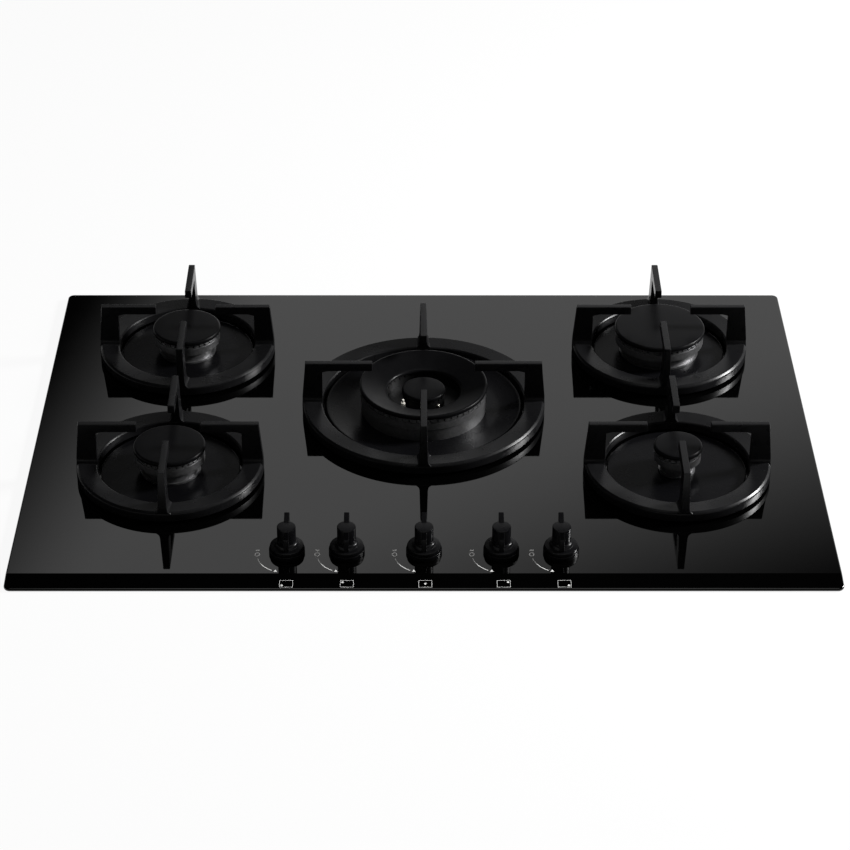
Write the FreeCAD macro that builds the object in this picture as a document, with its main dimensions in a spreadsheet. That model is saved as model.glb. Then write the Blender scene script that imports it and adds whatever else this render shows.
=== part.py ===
import FreeCAD, Part
import math
import os

import Sketcher

# Five-burner gas cooktop with a glass top, 750 mm wide, dropped into a worktop.
# Origin: centre of the flat underside of the burner box.  +X right, +Y to the
# back, +Z up.  All sizes are in millimetres.

doc = FreeCAD.newDocument("gas_cooktop")
sheet = doc.addObject("Spreadsheet::Sheet", "dims")

DRIVING_SIZES = (
    # glass top
    ("glass_width", 750), ("glass_depth", 520), ("glass_thickness", 6),
    ("glass_corner_radius", 6), ("facet_width", 20), ("facet_drop", 3),
    ("edge_chamfer", 1.2), ("glass_hole_gap", 1.5), ("probe_hole_gap", 0.6),
    # how far a cutting tool reaches past what it cuts
    ("overcut", 1), ("port_overcut", 0.5), ("way_spare", 20),
    # burner box under the glass
    ("box_width", 545), ("box_depth", 466), ("box_height", 46), ("box_wall", 1),
    ("box_corner_radius", 8), ("box_flange", 5),
    ("worktop_thickness", 30),
    ("seal_inset", 5), ("seal_width", 8), ("seal_thickness", 1.5),
    # burner places, from the centre of the glass
    ("side_x", 240), ("front_y", -75), ("rear_y", 143.5),
    # pan supports: ring, four fingers, rubber feet
    ("side_ring_radius", 88.5), ("wok_ring_radius", 119), ("ring_band", 20),
    ("ring_height", 10), ("ring_slope", 1.2), ("ring_bevel", 3), ("foot_height", 2.5),
    ("support_height", 54), ("finger_count", 4), ("finger_thickness", 6.4),
    ("finger_root_thickness", 8), ("finger_root_flare", 4), ("leg_lean", 3.2),
    ("leg_width", 20), ("arm_depth", 8.5), ("arm_gusset", 1.5), ("gusset_lean", 0.4),
    ("ring_bevel_reach", 2.4), ("finger_sink", 0.3), ("arm_tip_bevel", 1.2),
    ("flare_mid_reach", 1.6), ("flare_mid_height", 1.44),
    ("side_arm_end", 30), ("wok_arm_end", 50),
    ("foot_radius", 5), ("foot_stem_radius", 3), ("foot_stem_length", 5), ("foot_angle", 45),
    # burner heads, heights above the glass
    ("plate_thickness", 2), ("side_plate_radius", 66), ("wok_plate_radius", 97.5),
    ("wok_plate_rim_height", 7), ("wok_plate_flat_radius", 71), ("plate_edge", 1),
    ("dish_steel", 1.6), ("dish_fold", 0.6), ("dish_foot", 1.8), ("dish_crest_outer", 2.1),
    ("dish_crest_inner", 5.4), ("dish_under_outer", 3.6), ("dish_under_inner", 5),
    ("aux_cap_radius", 23), ("semi_cap_radius", 34), ("rapid_cap_radius", 45.5),
    ("aux_bowl_radius", 14), ("semi_bowl_radius", 25), ("rapid_bowl_radius", 27),
    ("cap_overhang", 1), ("cap_thickness", 5), ("cap_edge", 1.6), ("cap_relief", 0.6),
    ("cap_edge_corner", 0.48), ("cap_crowning", 0.4), ("cap_hollow", 1.2), ("rib_depth", 2),
    ("rib_width", 1.5), ("rib_setback", 6.5),
    ("crown_wall", 3), ("crown_floor", 2.5), ("crown_seat_height", 14), ("crown_height", 12),
    ("groove_depth", 0.9), ("groove_width", 0.8), ("groove_one_drop", 4.16),
    ("groove_two_drop", 1.6), ("port_width", 1.5), ("port_height", 2.2), ("port_cover", 1.2),
    ("crown_foot_bevel", 1), ("crown_foot_rise", 0.8), ("crown_lip_setback", 0.3),
    ("tunnel_wall", 1.6), ("trim_reach", 12),
    ("neck_setback", 6.5), ("cup_wall", 3), ("cup_depth", 22), ("cup_flange_setback", 4.5),
    ("cup_flange_thickness", 1.8), ("cup_step", 1), ("skirt_length", 7), ("skirt_wall", 1.5),
    ("skirt_gap", 0.3),
    ("jet_radius", 4), ("probe_setback", 2.5), ("notch_gap", 1),
    ("aux_port_count", 22), ("semi_port_count", 34), ("rapid_port_count", 46),
    # wok burner, two rings of flame
    ("wok_cap_radius", 62.6), ("wok_cap_hole_radius", 36), ("wok_cap_thickness", 4.5),
    ("wok_lip_thickness", 3.5), ("wok_crown_top", 26.5), ("wok_inner_wall_top", 19.5),
    ("wok_plate_level", 6), ("wok_floor", 3), ("wok_outer_wall", 6.5),
    ("wok_inner_wall", 3.5), ("wok_bowl_radius", 52), ("wok_partition_radius", 16),
    ("wok_inner_cap_radius", 21.5), ("wok_inner_cap_thickness", 4), ("wok_inner_top", 21),
    ("wok_inner_pot_wall", 4), ("wok_probe_radius", 27.6), ("wok_gas_hole_radius", 4),
    ("wok_gas_hole_count", 8), ("wok_port_count", 56), ("wok_inner_port_count", 24),
    ("wok_middle_port_count", 36),
    ("wok_cup_setback", 0.5), ("wok_cup_step", 2.5), ("wok_partition_wall", 2),
    ("wok_groove_low", 4.4), ("wok_groove_high", 3.6), ("wok_port_cover", 1),
    ("probe_boss_wall", 1.8), ("small_cap_hollow", 1),
    # spark plugs and flame sensors
    ("plug_radius", 3.2), ("plug_neck_radius", 2.2), ("plug_neck_bottom", 13),
    ("plug_collar_radius", 4.6), ("plug_tip_radius", 1),
    ("plug_top", 19.5), ("plug_tip_top", 23), ("plug_bottom", 14), ("sensor_radius", 2.2),
    ("sensor_collar_radius", 3.6), ("sensor_top", 21), ("sensor_bottom", 14), ("probe_gap", 0.3),
    ("collar_length", 5), ("tip_root", 1), ("side_probe_angle", 24), ("wok_plug_angle", -136),
    ("wok_sensor_angle", -60),
    # knobs and their gas taps
    ("knob_y", -206.7), ("inner_knob_x", 70), ("outer_knob_x", 124.2), ("knob_travel", 3),
    ("bezel_radius", 16.3), ("bezel_height", 4.2), ("bezel_wall", 0.6), ("bezel_floor", 0.6),
    ("knob_gap", 0.3), ("skirt_top", 8), ("skirt_rounding", 0.8), ("neck_ring_radius", 10.8),
    ("neck_ring_top", 12), ("skirt_crown", 0.3), ("neck_ring_lean", 0.6), ("neck_ring_rise", 1),
    ("neck_ring_step", 0.4), ("knob_radius", 8.5), ("knob_height", 28.2), ("knob_rounding", 0.8),
    ("grip_thickness", 4.8), ("grip_front", 12.5), ("grip_front_height", 21),
    ("grip_rear", 15.2), ("grip_rear_tip", 18), ("grip_rear_height", 31.2), ("grip_shoulder", 6),
    ("grip_sink", 0.6), ("grip_overlap", 1), ("grip_front_join", 0.5), ("grip_rear_rise", 0.6),
    ("grip_tip_lean", 0.6), ("grip_tip_drop", 1.2),
    ("spindle_radius", 3), ("spindle_top", 18), ("spindle_bottom", 19), ("spindle_hole_radius", 6.5),
    ("shoulder_radius", 5), ("shoulder_thickness", 1.2), ("shoulder_depth", 7.4),
    ("slider_radius", 6), ("slider_length", 5), ("running_gap", 0.08),
    ("tap_width", 26), ("tap_length", 30), ("tap_height", 18), ("tap_neck_radius", 9),
    ("tap_neck_gap", 2.6), ("tap_bore_spare", 1), ("slider_bore_depth", 30), ("stem_bore_depth", 40),
    ("switch_width", 8), ("switch_length", 14), ("switch_height", 11), ("switch_rise", 2),
    # gas way: rail, pipes, injector holders, inlet
    ("rail_radius", 7.5), ("rail_floor_gap", 1), ("rail_overhang", 16), ("rail_side_x", 190),
    ("rail_bend", 22), ("rail_bore_radius", 6),
    ("pipe_radius", 4), ("pipe_bore_radius", 3), ("pipe_height", 23), ("pipe_bend", 15),
    ("front_pipe_turn_y", -150), ("rear_pipe_turn_y", -112), ("rear_pipe_lane_x", 170),
    ("holder_width", 16), ("holder_height", 12), ("holder_jet_rise", 3),
    ("jet_gap", 0.2), ("jet_bore_radius", 1.2), ("jet_bore_depth", 14),
    ("inlet_width", 26), ("inlet_height", 32), ("inlet_thread_radius", 10.48),
    ("inlet_thread_length", 18), ("inlet_bore_radius", 7), ("inlet_height_centre", 19),
    ("inlet_hole_gap", 0.4), ("inlet_relief_radius", 9.5), ("inlet_relief_length", 1.5),
    # ignition, mains and fixing pieces
    ("generator_width", 62), ("generator_length", 40), ("generator_height", 24),
    ("generator_x", -75), ("generator_y", 185), ("generator_corner", 3),
    ("terminal_count", 5), ("terminal_radius", 2.5), ("terminal_height", 5),
    ("gland_radius", 9), ("gland_length", 12), ("gland_nut_radius", 11), ("gland_nut_length", 5),
    ("gland_bore_radius", 3.6), ("gland_x", -190), ("gland_height_centre", 22),
    ("clamp_width", 22), ("clamp_steel", 2), ("clamp_reach", 26), ("clamp_y", 150),
    ("clamp_screw_height", 27), ("clamp_hole_radius", 2.2), ("clamp_tab_rise", 7),
    ("screw_radius", 2), ("screw_head_radius", 4), ("screw_head_height", 2.4), ("screw_length", 8),
)

WORKED_OUT_SIZES = (
    ("glass_bottom", "=box_height"),
    ("glass_top_z", "=glass_bottom + glass_thickness"),
    ("wok_y", "=(front_y + rear_y) / 2"),
    ("ring_bottom", "=foot_height"),
    ("ring_top", "=ring_bottom + ring_height"),
    ("arm_bottom", "=support_height - arm_depth"),
    ("crown_top", "=crown_seat_height + crown_height"),
    ("cap_top", "=crown_top + cap_thickness"),
    ("cup_flange_top", "=plate_thickness + cup_flange_thickness"),
    ("groove_one", "=crown_top - groove_one_drop"),
    ("groove_two", "=crown_top - groove_two_drop"),
    ("port_bottom", "=crown_top - port_cover - port_height"),
    ("aux_crown_radius", "=aux_cap_radius - cap_overhang"),
    ("semi_crown_radius", "=semi_cap_radius - cap_overhang"),
    ("rapid_crown_radius", "=rapid_cap_radius - cap_overhang"),
    ("wok_crown_radius", "=wok_cap_radius - cap_overhang"),
    ("wok_cup_bore", "=wok_crown_radius - cup_wall - cap_overhang + wok_cup_setback"),
    ("wok_channel_radius", "=wok_crown_radius - wok_outer_wall"),
    ("wok_ring_wall_radius", "=wok_cap_hole_radius + cap_overhang"),
    ("wok_inner_crown_radius", "=wok_inner_cap_radius - cap_overhang"),
    ("wok_floor_top", "=wok_plate_level + wok_floor"),
    ("notch_radius", "=plug_radius + notch_gap"),
    ("wok_partition_bore", "=wok_partition_radius - wok_partition_wall"),
    ("bezel_bore", "=bezel_radius - bezel_wall"),
    ("skirt_radius", "=bezel_bore - knob_gap"),
    ("skirt_bottom", "=bezel_floor + knob_travel + knob_gap"),
    ("shoulder_top", "=-shoulder_depth"),
    ("slider_top", "=shoulder_top - shoulder_thickness"),
    ("slider_bottom", "=slider_top - slider_length"),
    ("tap_block_bottom", "=box_wall + rail_floor_gap + 2 * rail_radius"),
    ("rail_centre", "=box_wall + rail_floor_gap + rail_radius"),
    ("cup_bottom", "=glass_top_z - cup_depth"),
    ("holder_bottom", "=cup_bottom - holder_height"),
    ("worktop_top", "=glass_bottom - seal_thickness"),
    ("worktop_bottom", "=worktop_top - worktop_thickness"),
)

TOUCH = 1e-6

row = 1
for alias, size in DRIVING_SIZES + WORKED_OUT_SIZES:
    sheet.set(f"A{row}", alias)
    sheet.set(f"B{row}", str(size))
    sheet.setAlias(f"B{row}", alias)
    row += 1
doc.recompute()

node_objects = []


def bound(expression):
    """Put the sheet's name in front of every size named in an expression."""
    words = []
    word = ""
    for letter in expression + " ":
        if letter.isalnum() or letter == "_":
            word += letter
            continue
        is_size = word and word[0].isalpha() and word not in ("sin", "cos", "deg", "sqrt")
        words.append(("dims." if is_size else "") + word + letter)
        word = ""
    return "".join(words).strip()


def size_of(expression):
    """The present value of an expression of the sheet's sizes."""
    value = sheet.evalExpression(bound(expression))
    return float(getattr(value, "Value", value))


def bind(thing, prop, expression):
    thing.setExpression(prop, bound(expression))


def place(thing, x="0", y="0", z="0"):
    """Tie an object's place to the sheet."""
    bind(thing, "Placement.Base.x", x)
    bind(thing, "Placement.Base.y", y)
    bind(thing, "Placement.Base.z", z)


def keep(thing, label):
    """Count an object as one sub-part of the cooktop."""
    thing.Label = label
    node_objects.append(thing)
    return thing


# ---------------------------------------------------------------- bodies

def new_body(label, x="0", y="0", z="glass_top_z"):
    body = doc.addObject("PartDesign::Body", label)
    place(body, x, y, z)
    return keep(body, label)


def plane_of(body, role):
    return next(f for f in body.Origin.OriginFeatures if f.Role == role)


def new_sketch(body, name, role, lift=None):
    sketch = body.newObject("Sketcher::SketchObject", name)
    sketch.AttachmentSupport = [(plane_of(body, role), "")]
    sketch.MapMode = "FlatFace"
    if lift is not None:
        bind(sketch, "AttachmentOffset.Base.z", lift)
    return sketch


def draw_outline(body, name, role, corners, lift=None):
    """A closed straight-sided outline, each corner held by two bound distances."""
    sketch = new_sketch(body, name, role, lift)
    points = [FreeCAD.Vector(size_of(a), size_of(b), 0) for a, b in corners]
    count = len(points)
    for i in range(count):
        sketch.addGeometry(Part.LineSegment(points[i], points[(i + 1) % count]), False)
    for i in range(count):
        sketch.addConstraint(Sketcher.Constraint("Coincident", i, 2, (i + 1) % count, 1))
    for i, (across, up) in enumerate(corners):
        for kind, axis, expression, start in (
                ("DistanceX", "x", across, points[i].x), ("DistanceY", "y", up, points[i].y)):
            index = sketch.addConstraint(Sketcher.Constraint(kind, -1, 1, i, 1, start))
            sketch.renameConstraint(index, f"{axis}{i}")
            bind(sketch, f"Constraints.{axis}{i}", expression)
    return sketch


def draw_circles(body, name, role, circles, lift=None):
    """Circles given as (x, y, radius) expressions."""
    sketch = new_sketch(body, name, role, lift)
    for i, (across, up, radius) in enumerate(circles):
        centre = FreeCAD.Vector(size_of(across), size_of(up), 0)
        normal = FreeCAD.Vector(0, 0, 1)
        sketch.addGeometry(Part.Circle(centre, normal, size_of(radius)), False)
        for kind, name_start, expression, start in (
                ("DistanceX", "x", across, centre.x), ("DistanceY", "y", up, centre.y)):
            index = sketch.addConstraint(Sketcher.Constraint(kind, -1, 1, i, 3, start))
            sketch.renameConstraint(index, f"{name_start}{i}")
            bind(sketch, f"Constraints.{name_start}{i}", expression)
        index = sketch.addConstraint(Sketcher.Constraint("Radius", i, size_of(radius)))
        sketch.renameConstraint(index, f"radius{i}")
        bind(sketch, f"Constraints.radius{i}", radius)
    return sketch


def revolve(body, name, corners):
    """Turn a half section, drawn as (radius, height), once round the Z axis."""
    sketch = draw_outline(body, name + "_section", "XZ_Plane", corners)
    turned = body.newObject("PartDesign::Revolution", name)
    turned.Profile = sketch
    turned.ReferenceAxis = (sketch, ["V_Axis"])
    turned.Angle = 360
    return turned


def pad(body, name, sketch, length, both_sides=False, reverse=False):
    padded = body.newObject("PartDesign::Pad", name)
    padded.Profile = sketch
    bind(padded, "Length", length)
    padded.Midplane = both_sides
    padded.Reversed = reverse
    return padded


def pocket(body, name, sketch, length, both_sides=False, reverse=False):
    """Cut a sketch through the body, and stop if nothing was cut."""
    doc.recompute()
    before = body.Shape.Volume
    hollow = body.newObject("PartDesign::Pocket", name)
    hollow.Profile = sketch
    bind(hollow, "Length", length)
    hollow.Midplane = both_sides
    hollow.Reversed = reverse
    doc.recompute()
    if not body.Shape.Volume < before:
        raise RuntimeError(f"{body.Label}: {name} cuts nothing")
    return hollow


def around(body, name, features, count):
    """Repeat features evenly round the body's Z axis."""
    pattern = body.newObject("PartDesign::PolarPattern", name)
    pattern.Originals = features
    pattern.Axis = (plane_of(body, "Z_Axis"), [""])
    pattern.Angle = 360
    bind(pattern, "Occurrences", count)
    body.Tip = pattern
    return pattern


def port_corners(level):
    """The outline of a flame port, across the Y axis, from its lower edge up."""
    top = f"{level} + port_height"
    return [("-port_width / 2", level), ("port_width / 2", level),
            ("port_width / 2", top), ("-port_width / 2", top)]


def rectangle(half_x, half_y):
    """Corners of a rectangle round the origin."""
    return [(f"-({half_x})", f"-({half_y})"), (half_x, f"-({half_y})"),
            (half_x, half_y), (f"-({half_x})", half_y)]


def upright_edges(body):
    """Names of the straight edges that run along Z."""
    names = []
    for i, edge in enumerate(body.Shape.Edges):
        ends = [v.Point for v in edge.Vertexes]
        if len(ends) == 2 and (ends[0] - ends[1]).cross(FreeCAD.Vector(0, 0, 1)).Length < TOUCH:
            names.append(f"Edge{i + 1}")
    return names


def round_uprights(body, name, radius):
    doc.recompute()
    base = body.Tip
    rounded = body.newObject("PartDesign::Fillet", name)
    rounded.Base = (base, upright_edges(body))
    bind(rounded, "Radius", radius)
    return rounded


# ------------------------------------------------------------- part shapes

def cylinder(name, radius, height, x="0", y="0", z="0"):
    shape = doc.addObject("Part::Cylinder", name)
    bind(shape, "Radius", radius)
    bind(shape, "Height", height)
    place(shape, x, y, z)
    return shape


def box(name, length, width, height, x="0", y="0", z="0"):
    """A block centred on x and y and standing on z."""
    shape = doc.addObject("Part::Box", name)
    bind(shape, "Length", length)
    bind(shape, "Width", width)
    bind(shape, "Height", height)
    place(shape, f"({x}) - ({length}) / 2", f"({y}) - ({width}) / 2", z)
    return shape


def fuse(name, *shapes):
    joined = doc.addObject("Part::MultiFuse", name)
    joined.Shapes = list(shapes)
    return joined


def cut(name, base, tool):
    result = doc.addObject("Part::Cut", name)
    result.Base = base
    result.Tool = tool
    return result


def group(label, shapes):
    """Several like solids kept apart in one sub-part."""
    gathered = doc.addObject("Part::Compound", label)
    gathered.Links = list(shapes)
    return keep(gathered, label)


def turn_about(thing, axis, angle):
    """Turn an object in place; its position stays bound to the sheet."""
    thing.Placement = FreeCAD.Placement(thing.Placement.Base, FreeCAD.Rotation(axis, angle))


# --------------------------------------------------------------- layout

BURNERS = {
    "front_left": ("-side_x", "front_y", "semi"),
    "rear_left": ("-side_x", "rear_y", "semi"),
    "centre": ("0", "wok_y", "wok"),
    "rear_right": ("side_x", "rear_y", "rapid"),
    "front_right": ("side_x", "front_y", "aux"),
}
SIDE_BURNERS = [name for name in BURNERS if name != "centre"]
KNOBS = {
    "front_left": "-outer_knob_x",
    "rear_left": "-inner_knob_x",
    "centre": "0",
    "rear_right": "inner_knob_x",
    "front_right": "outer_knob_x",
}


def probe_places(name):
    """Where a burner's spark plug and flame sensor stand, from the burner's centre."""
    if name == "centre":
        return [(f"wok_probe_radius * cos(wok_{kind}_angle * 1 deg)",
                 f"wok_probe_radius * sin(wok_{kind}_angle * 1 deg)")
                for kind in ("plug", "sensor")]
    kind = BURNERS[name][2]
    reach = f"({kind}_crown_radius - probe_setback)"
    return [(f"{sign}{reach} * sin(side_probe_angle * 1 deg)",
             f"{reach} * cos(side_probe_angle * 1 deg)") for sign in ("", "-")]


def at(name, offset=("0", "0")):
    """A place near a burner's centre, in the cooktop's own frame."""
    x, y, _ = BURNERS[name]
    return f"{x} + ({offset[0]})", f"{y} + ({offset[1]})"


# ------------------------------------------------------------- glass top

def make_glass():
    body = new_body("glass_top", z="glass_bottom")
    outline = draw_outline(body, "glass_outline", "XY_Plane",
                           rectangle("glass_width / 2", "glass_depth / 2"))
    pad(body, "glass_sheet", outline, "glass_thickness")
    round_uprights(body, "glass_corners", "glass_corner_radius")
    doc.recompute()
    base = body.Tip
    rim = [f"Edge{i + 1}" for i, edge in enumerate(body.Shape.Edges)
           if all(abs(v.Z - size_of("glass_top_z")) < TOUCH for v in edge.Vertexes)]
    ground = body.newObject("PartDesign::Chamfer", "ground_edges")
    ground.Base = (base, rim)
    bind(ground, "Size", "edge_chamfer")
    # The front strip is ground down to a thin edge.
    front = "-glass_depth / 2"
    facet = draw_outline(body, "facet_outline", "YZ_Plane", [
        (f"{front} - overcut", "glass_thickness + overcut"),
        (f"{front} - overcut", "glass_thickness - facet_drop - facet_drop / facet_width * overcut"),
        (f"{front} + facet_width", "glass_thickness"),
        (f"{front} + facet_width", "glass_thickness + overcut")])
    pocket(body, "front_facet", facet, "glass_width + 2 * overcut", both_sides=True)
    holes = []
    for name, (x, y, kind) in BURNERS.items():
        holes.append((x, y, f"{kind}_bowl_radius + glass_hole_gap"))
        if name == "centre":
            continue
        for offset, collar in zip(probe_places(name), ("plug", "sensor")):
            hole_x, hole_y = at(name, offset)
            holes.append((hole_x, hole_y, f"{collar}_collar_radius + probe_hole_gap"))
    for x in KNOBS.values():
        holes.append((x, "knob_y", "spindle_hole_radius"))
    # Probe holes that run into a burner hole are cut one after the other.
    for i, hole in enumerate(holes):
        circle = draw_circles(body, f"hole_circle_{i}", "XY_Plane", [hole])
        pocket(body, f"glass_hole_{i}", circle, "glass_thickness", reverse=True)


def make_seal():
    outer = box("seal_outer", "glass_width - 2 * seal_inset", "glass_depth - 2 * seal_inset",
                "seal_thickness", z="worktop_top")
    inner = box("seal_inner", "glass_width - 2 * seal_inset - 2 * seal_width",
                "glass_depth - 2 * seal_inset - 2 * seal_width", "seal_thickness + 2 * overcut",
                z="worktop_top - overcut")
    keep(cut("worktop_seal", outer, inner), "worktop_seal")


def make_burner_box():
    body = new_body("burner_box", z="0")
    outline = draw_outline(body, "box_outline", "XY_Plane",
                           rectangle("box_width / 2", "box_depth / 2"))
    pad(body, "box_block", outline, "box_height")
    round_uprights(body, "box_corners", "box_corner_radius")
    flange = draw_outline(body, "flange_outline", "XY_Plane",
                          rectangle("box_width / 2 + box_flange", "box_depth / 2 + box_flange"),
                          lift="box_height - box_wall")
    pad(body, "box_flange", flange, "box_wall")
    hollow = draw_outline(body, "hollow_outline", "XY_Plane",
                          rectangle("box_width / 2 - box_wall", "box_depth / 2 - box_wall"),
                          lift="box_wall")
    pocket(body, "box_hollow", hollow, "box_height", reverse=True)
    # Ways out through the rear wall for the gas inlet and the mains gland.
    rear = draw_circles(body, "rear_holes", "XZ_Plane", [
        ("rail_side_x", "inlet_height_centre", "inlet_thread_radius + inlet_hole_gap"),
        ("gland_x", "gland_height_centre", "gland_radius")])
    pocket(body, "rear_openings", rear, "box_depth", reverse=False)
    sides = draw_circles(body, "clamp_screw_holes", "YZ_Plane", [
        ("clamp_y", "clamp_screw_height", "screw_radius"),
        ("-clamp_y", "clamp_screw_height", "screw_radius")])
    pocket(body, "side_screw_holes", sides, "box_width + way_spare", both_sides=True)


# ------------------------------------------------------------ pan supports

def make_pan_support(name):
    x, y, kind = BURNERS[name]
    size = "wok" if kind == "wok" else "side"
    rim = f"{size}_ring_radius"
    arm_end = f"{size}_arm_end"
    body = new_body(f"{name}_pan_support", x, y)
    revolve(body, "ring", [
        (f"{rim} - ring_band", "ring_bottom"), (rim, "ring_bottom"),
        (rim, "ring_top - ring_bevel"), (f"{rim} - ring_bevel_reach", "ring_top"),
        (f"{rim} - ring_band", "ring_top - ring_slope")])
    # One finger: a leg on the ring and an arm towards the burner, in one outline.
    seat = "(ring_top - ring_slope - finger_sink)"
    inside = f"{rim} - leg_width"
    finger_outline = draw_outline(body, "finger_outline", "XZ_Plane", [
        (f"{rim} - finger_sink", seat), (f"{rim} - leg_lean", "support_height"),
        (arm_end, "support_height"), (arm_end, "arm_bottom + arm_tip_bevel"),
        (f"{arm_end} + arm_tip_bevel", "arm_bottom"), (f"{inside} - arm_gusset", "arm_bottom"),
        (f"{inside} - gusset_lean", "arm_bottom - arm_gusset"), (inside, seat)])
    finger = pad(body, "finger", finger_outline, "finger_root_thickness", both_sides=True)
    half = "finger_root_thickness / 2"
    flare_outline = draw_outline(body, "flare_outline", "YZ_Plane", [
        (f"-({half} + finger_root_flare)", seat), (f"{half} + finger_root_flare", seat),
        (f"{half} + flare_mid_reach", f"{seat} + flare_mid_height"),
        (half, f"{seat} + finger_root_flare"), (f"-({half})", f"{seat} + finger_root_flare"),
        (f"-({half} + flare_mid_reach)", f"{seat} + flare_mid_height")], lift=inside)
    flare = pad(body, "flare", flare_outline, "leg_width - finger_sink")
    tapers = []
    for side, sign in (("left", ""), ("right", "-")):
        wedge = draw_outline(body, f"{side}_taper_outline", "YZ_Plane", [
            (f"{sign}({half})", f"{seat} + finger_root_flare"),
            (f"{sign}({half} + overcut)", f"{seat} + finger_root_flare"),
            (f"{sign}({half} + overcut)", "support_height + overcut"),
            (f"{sign}(finger_thickness / 2)", "support_height + overcut")], lift=f"{arm_end} - overcut")
        tapers.append(pocket(body, f"{side}_taper", wedge, f"{rim} - {arm_end} + 2 * overcut", reverse=True))
    foot_radius = f"{rim} - ring_band / 2"
    sockets = draw_circles(body, "foot_socket", "XY_Plane", [
        (f"({foot_radius}) * cos(foot_angle * 1 deg)", f"({foot_radius}) * sin(foot_angle * 1 deg)",
         "foot_stem_radius")], lift="ring_bottom")
    socket = pocket(body, "foot_hole", sockets, "foot_stem_length", reverse=True)
    around(body, "fingers", [finger, flare, *tapers, socket], "finger_count")


def make_support_feet(name):
    x, y, kind = BURNERS[name]
    rim = "wok_ring_radius" if kind == "wok" else "side_ring_radius"
    feet = []
    for i in range(round(size_of("finger_count"))):
        angle = f"(foot_angle + 360 / finger_count * {i})"
        reach = f"({rim} - ring_band / 2)"
        foot_x = f"{x} + {reach} * cos({angle} * 1 deg)"
        foot_y = f"{y} + {reach} * sin({angle} * 1 deg)"
        head = cylinder(f"{name}_foot_head_{i}", "foot_radius", "foot_height",
                        foot_x, foot_y, "glass_top_z")
        stem = cylinder(f"{name}_foot_stem_{i}", "foot_stem_radius",
                        "foot_height + foot_stem_length", foot_x, foot_y, "glass_top_z")
        feet.append(fuse(f"{name}_foot_{i}", head, stem))
    group(f"{name}_support_feet", feet)


# ------------------------------------------------------------ drip plates

def make_drip_plates():
    plates = []
    for name in SIDE_BURNERS:
        x, y, kind = BURNERS[name]
        disc = cylinder(f"{name}_plate_disc", "side_plate_radius", "plate_thickness - plate_edge",
                        x, y, "glass_top_z")
        rim = doc.addObject("Part::Cone", f"{name}_plate_rim")
        bind(rim, "Radius1", "side_plate_radius")
        bind(rim, "Radius2", "side_plate_radius - plate_edge")
        bind(rim, "Height", "plate_edge")
        place(rim, x, y, "glass_top_z + plate_thickness - plate_edge")
        tools = [cylinder(f"{name}_plate_bore", f"{kind}_bowl_radius + glass_hole_gap",
                          "plate_thickness + 2 * overcut", x, y, "glass_top_z - overcut")]
        for offset, collar in zip(probe_places(name), ("plug", "sensor")):
            hole_x, hole_y = at(name, offset)
            tools.append(cylinder(f"{name}_plate_{collar}_hole",
                                  f"{collar}_collar_radius + probe_hole_gap",
                                  "plate_thickness + 2 * overcut", hole_x, hole_y,
                                  "glass_top_z - overcut"))
        blank = fuse(f"{name}_plate_blank", disc, rim)
        plates.append(cut(f"{name}_plate", blank, fuse(f"{name}_plate_holes", *tools)))
    group("side_drip_plates", plates)

    body = new_body("centre_drip_plate", *BURNERS["centre"][:2])
    rim = "wok_plate_radius"
    flat = "wok_plate_flat_radius"
    bore = "wok_bowl_radius + glass_hole_gap"
    revolve(body, "dish", [
        (bore, "0"), (f"{flat} + dish_fold", "0"),
        (f"{rim} - dish_under_inner", "wok_plate_rim_height - dish_steel"),
        (f"{rim} - dish_under_outer", "wok_plate_rim_height - dish_steel"),
        (f"{rim} - dish_foot", "0"), (rim, "0"),
        (f"{rim} - dish_crest_outer", "wok_plate_rim_height"),
        (f"{rim} - dish_crest_inner", "wok_plate_rim_height"),
        (flat, "plate_thickness"), (bore, "plate_thickness")])


# ------------------------------------------------------------ burner heads

def make_side_cup(name):
    x, y, kind = BURNERS[name]
    crown = f"{kind}_crown_radius"
    bowl = f"{kind}_bowl_radius"
    neck = f"{crown} - neck_setback"
    flange = f"{crown} - cup_flange_setback"
    body = new_body(f"{name}_burner_cup", x, y)
    revolve(body, "cup", [
        ("jet_radius", "-cup_depth"), (bowl, "-cup_depth"), (bowl, "plate_thickness"),
        (flange, "plate_thickness"), (flange, "cup_flange_top"), (neck, "cup_flange_top"),
        (neck, "crown_seat_height"), (f"{neck} - cup_wall", "crown_seat_height"),
        (f"{neck} - cup_wall", "cup_flange_top + cup_step"),
        (f"{bowl} - cup_wall", "cup_flange_top + cup_step"),
        (f"{bowl} - cup_wall", "cup_wall - cup_depth"), ("jet_radius", "cup_wall - cup_depth")])
    circles = []
    for offset, probe in zip(probe_places(name), ("plug", "sensor")):
        circles.append((offset[0], offset[1], f"{probe}_radius + probe_gap"))
    holes = draw_circles(body, "probe_hole_circles", "XY_Plane", circles)
    pocket(body, "probe_holes", holes, "crown_seat_height", reverse=True)


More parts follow.
